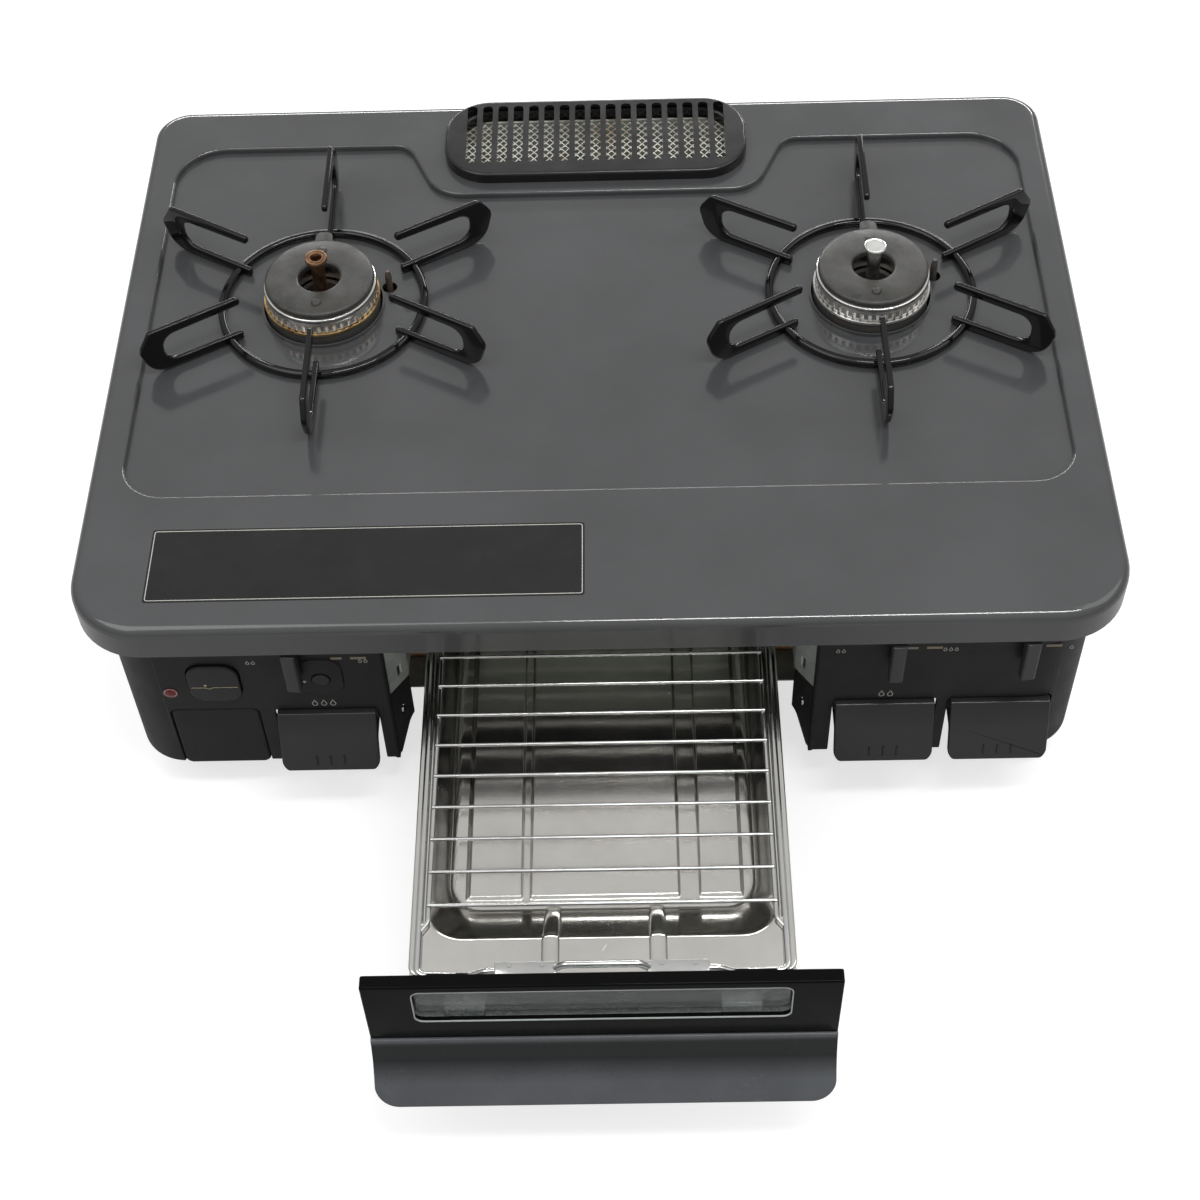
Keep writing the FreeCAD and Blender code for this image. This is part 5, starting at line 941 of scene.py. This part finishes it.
def ribbon(bm, line, width, level, lift, closed=True, thick=0.08):
    """A printed line: a thin flat strip along a drawn line."""
    line = [Vector((p[0], p[1], 0)) for p in line]
    count = len(line)
    rings = []
    for i, p in enumerate(line):
        a = line[i - 1] if (i or closed) else p
        b = line[(i + 1) % count] if (i < count - 1 or closed) else p
        along = (b - a).normalized()
        across = Vector((-along.y, along.x, 0)) * width / 2
        rings.append([lift(*(p + across).xy, level), lift(*(p - across).xy, level),
                      lift(*(p - across).xy, level - thick), lift(*(p + across).xy, level - thick)])
    rings_mesh(bm, rings, closed_ends=closed, cap_ends=not closed)


def on_panel(across, drop, out):
    """A place on the panels' front: across the part, down from the plate's rim and out of the face."""
    return (across, FACE - out, RIM - drop)


def on_plate(across, back, up):
    return (across, back, RIM + up)


def flame_outline(x, drop, size):
    """An upright flame."""
    shape = [(0.0, -1.15), (0.2, -0.6), (0.5, -0.1), (0.58, 0.35), (0.4, 0.75), (0.0, 0.95), (-0.4, 0.75),
             (-0.58, 0.35), (-0.5, -0.1), (-0.2, -0.6)]
    return [(x + u * size, drop + v * size) for u, v in shape]


def make_panel_print():
    """Flames over the buttons and at the ends of the scales, and the outline of a cell beside the lid."""
    bm = bmesh.new()
    for x, drop in ((-157.6, 79.0), (-152.6, 79.0), (-147.6, 79.0), (153.2, 79.6), (158.0, 79.6)):
        ribbon(bm, flame_outline(x, drop, 2.5), 0.42, 0.06, on_panel)
    for x in (-189.0, -186.0, -128.5, -125.5, 127.0, 130.0, 184.0, 187.0, 251.0, 190.0):
        ribbon(bm, flame_outline(x, 41.0 if x < 0 else 40.0, 1.5), 0.4, 0.06, on_panel)
    cell = round_corners(rectangle(-250.5, -246.5, 91.0, 98.0), 1.0, True, 3)
    corner_depth = 5.2
    ribbon(bm, cell, 0.45, 0.9, lambda u, v, w: on_panel(u, v, w - corner_depth))
    finish_mesh("panel_print", bm, PRINT, "casing", "panel", HOUSE, [], 30)


def make_scales():
    """Two bars beside each lever's slot."""
    bm = bmesh.new()
    for name, middle in BUTTONS:
        for k, wide in enumerate((6.0, 8.5)):
            start = middle + 8 + k * 10.5
            add_prism(bm, rectangle(start, start + wide, 37.2, 39.2), 0.0, 0.12, on_panel)
    finish_mesh("flame_scales", bm, SCALE, "casing", "panel", HOUSE, [], 30)


def make_key_print():
    """Gold divider and dot on the mode key, and the pale dot beside the round key."""
    front = 2.0
    bm = bmesh.new()
    divider = [(-222.0, 60.2), (-215.0, 60.2), (-212.5, 61.4), (-210.0, 60.2), (-197.0, 60.2)]
    ribbon(bm, divider, 0.45, front + 0.05, on_panel, closed=False)
    add_prism(bm, circle_points(-214.3, 58.2, 0.8, 16), front, front + 0.06, on_panel)
    finish_mesh("key_print", bm, GOLD, "mode_key", "grey_plastic", HOUSE, [], 30)
    spot = bmesh.new()
    add_prism(spot, circle_points(-160.4, 57.6, 0.9, 16), 0.9, 1.06, on_panel)
    finish_mesh("pad_dot", spot, PRINT, "casing", "panel", HOUSE, [], 30)


def make_lamp():
    """The battery lamp: a raised rim round a low red dome."""
    def ring(radius, out, count):
        return [(u, FACE - out, v) for u, v in circle_points(-235.0, RIM - 67.0, radius, count)]

    bm = bmesh.new()
    rim = ((2.5, -0.6), (3.6, 0.0), (3.9, 0.35), (3.5, 0.55), (2.8, 0.3), (2.3, -0.8))
    rings_mesh(bm, [ring(radius, out, 40) for radius, out in rim], closed_ends=True)
    finish_mesh("lamp_rim", bm, LAMP_RIM, "casing", "panel", HOUSE, [], 40)
    dome = bmesh.new()
    dome_radius, dome_rise = 2.3, 1.2
    turns = [pi / 2 * k / 6 for k in range(7)]
    rings = [ring(dome_radius * cos(t) + NOTHING, dome_rise * sin(t) + 0.1, 32) for t in turns]
    rings_mesh(dome, rings, cap_ends=True)
    finish_mesh("lamp_dome", dome, LAMP, "casing", "lamp", HOUSE, [], 60)


def make_button_marks():
    """Three short grip marks on the lower lip of each press button."""
    top, low = Vector(on_panel(0, 98.0, 9.0)), Vector(on_panel(0, 120.0, 17.5))
    slope = (low - top).normalized()
    out = Vector((0, slope.z, -slope.y))
    proud, first, last, pitch = 0.15, 13.6, 19.4, 7.6
    for name, x in BUTTONS:
        bm = bmesh.new()
        for place in (-1, 0, 1):
            foot = top + out * proud + Vector((x + place * pitch, 0, 0))
            start, end = foot + slope * first, foot + slope * last
            add_tube(bm, [start, start.lerp(end, 0.5), end], 0.55, 8)
        body = name + "_ignition_button"
        finish_mesh(body + "_marks", bm, MARK, body, "button", HOUSE, [], 50)


def make_label_film():
    """A bare dark film on the front of the top plate, with a thin pale border."""
    left, right, near, far, margin = -239.0, -7.0, -190.5, -141.0, 1.2
    bm = bmesh.new()
    add_prism(bm, round_corners(rectangle(left, right, near, far), 1.5, True, 3), 0.02, 0.16, on_plate)
    finish_mesh("front_film", bm, FILM, "casing", "plate_enamel", HOUSE, [], 30)
    border = bmesh.new()
    inner = rectangle(left + margin, right - margin, near + margin, far - margin)
    ribbon(border, round_corners(inner, 1.2, True, 3), 0.45, 0.2, on_plate)
    finish_mesh("film_border", border, PRINT, "casing", "plate_enamel", HOUSE, [], 30)


def make_window_edge():
    """The pale ground edge that shows round the door's window."""
    half, top, low, margin, door_face = 91.0, RIM - 33.0, RIM - 63.0, 0.3, -204.0
    bm = bmesh.new()
    inner = rectangle(-half + margin, half - margin, low + margin, top - margin)
    edge = round_corners(inner, 4.6, True, 6)
    ribbon(bm, edge, 0.6, 0.05, lambda u, v, w: (u, door_face - w, v), thick=0.6)
    finish_mesh("window_edge", bm, GLASS_EDGE, "grill_drawer", "door", DRAWER, [], 40)


make_panel_print()
make_scales()
make_key_print()
make_lamp()
make_button_marks()
make_label_film()
make_window_edge()


# Floor, lights and camera, in metres
def build_floor():
    """A floor that looks white to the camera and through glass, and keeps the object's shadow."""
    size, grey, glow_level = 6.0, 0.42, 0.68
    mesh = bpy.data.meshes.new("floor")
    corners = [(-size, -size, 0), (size, -size, 0), (size, size, 0), (-size, size, 0)]
    mesh.from_pydata(corners, [], [(0, 1, 2, 3)])
    floor = new_object("floor", mesh)
    n = Nodes("floor_white")
    n.colour((grey, grey, grey))
    n.put("Roughness", 0.9)
    path = n.add("ShaderNodeLightPath")
    seen = n.math("MAXIMUM", path.outputs["Is Camera Ray"], path.outputs["Is Transmission Ray"])
    glow = n.add("ShaderNodeEmission", Strength=1.0)
    glow.inputs["Color"].default_value = n.rgba(glow_level)
    both = n.add("ShaderNodeAddShader")
    pick = n.add("ShaderNodeMixShader")
    out = n.tree.nodes["Material Output"]
    n.link(n.shader.outputs[0], both.inputs[0])
    n.link(glow.outputs[0], both.inputs[1])
    n.link(seen, pick.inputs[0])
    n.link(n.shader.outputs[0], pick.inputs[1])
    n.link(both.outputs[0], pick.inputs[2])
    n.link(pick.outputs[0], out.inputs["Surface"])
    mesh.materials.append(n.material)


def build_world():
    """A soft overhead dome: bright above, dimmer towards the horizon, white behind the object."""
    world = bpy.data.worlds.new("studio")
    bpy.context.scene.world = world
    world.use_nodes = True
    tree = world.node_tree
    link = tree.links.new
    background = tree.nodes["Background"]
    background.inputs["Strength"].default_value = 1.0
    coords = tree.nodes.new("ShaderNodeTexCoord")
    split = tree.nodes.new("ShaderNodeSeparateXYZ")
    ramp = tree.nodes.new("ShaderNodeValToRGB")
    horizon, overhead = ramp.color_ramp.elements
    horizon.position, horizon.color = 0.0, (0.3, 0.3, 0.3, 1)
    overhead.position, overhead.color = 0.9, (0.74, 0.74, 0.735, 1)
    link(coords.outputs["Generated"], split.inputs[0])
    link(split.outputs[2], ramp.inputs["Fac"])
    link(ramp.outputs["Color"], background.inputs["Color"])
    white = tree.nodes.new("ShaderNodeBackground")
    white.inputs["Strength"].default_value = 1.0
    path = tree.nodes.new("ShaderNodeLightPath")
    pick = tree.nodes.new("ShaderNodeMixShader")
    link(path.outputs["Is Camera Ray"], pick.inputs[0])
    link(background.outputs[0], pick.inputs[1])
    link(white.outputs[0], pick.inputs[2])
    link(pick.outputs[0], tree.nodes["World Output"].inputs["Surface"])


def area_light(name, place, target, size, power):
    """A rectangular light that faces its target."""
    light = bpy.data.lights.new(name, "AREA")
    light.shape = "RECTANGLE"
    light.size, light.size_y = size
    light.energy = power
    lamp = new_object(name, light)
    lamp.location = place
    aim = Vector(target) - Vector(place)
    lamp.rotation_euler = aim.to_track_quat("-Z", "Y").to_euler()


def build_camera():
    """The photograph's own view: its lens, its place over the plate's middle and its tilt, turn and roll."""
    lens, over_plate = 62.64, (0.01852, -0.86344, 0.85594)
    pitch, yaw, roll = (radians(angle) for angle in (51.966, -1.497, 2.238))
    cp, sp, cy, sy = cos(pitch), sin(pitch), cos(yaw), sin(yaw)
    forward = Vector((sy * cp, cy * cp, -sp))
    right = Vector((cy, -sy, 0))
    down = forward.cross(right)
    cr, sr = cos(roll), sin(roll)
    across = right * cr + down * sr
    below = down * cr - right * sr
    camera = bpy.data.cameras.new("camera")
    camera.lens = lens
    camera.sensor_width = 36.0
    camera.clip_start, camera.clip_end = 0.05, 50
    eye = new_object("camera", camera)
    place = Vector(over_plate) + Vector((0, PLATE_Y, PLATE_TOP))
    turn = Matrix((across, -below, -forward)).transposed().to_4x4()
    eye.matrix_world = Matrix.Translation(place) @ turn
    bpy.context.scene.camera = eye


build_floor()
build_world()
area_light("key", place=(-1.1, -0.5, 2.3), target=(0, 0.1, 0.1), size=(1.6, 1.6), power=16)
area_light("bar", place=(0.5, -0.5, 2.2), target=(0.42, -0.1, 0.16), size=(1.2, 0.16), power=20)
area_light("strip", place=(0.2, 3.0, 1.45), target=(0.0, 0.1, 0.15), size=(3.4, 0.25), power=50)
area_light("fill", place=(1.6, 0.1, 1.9), target=(0, 0, 0.1), size=(1.4, 1.4), power=7)
build_camera()
bpy.context.scene.view_settings.view_transform = "Standard"
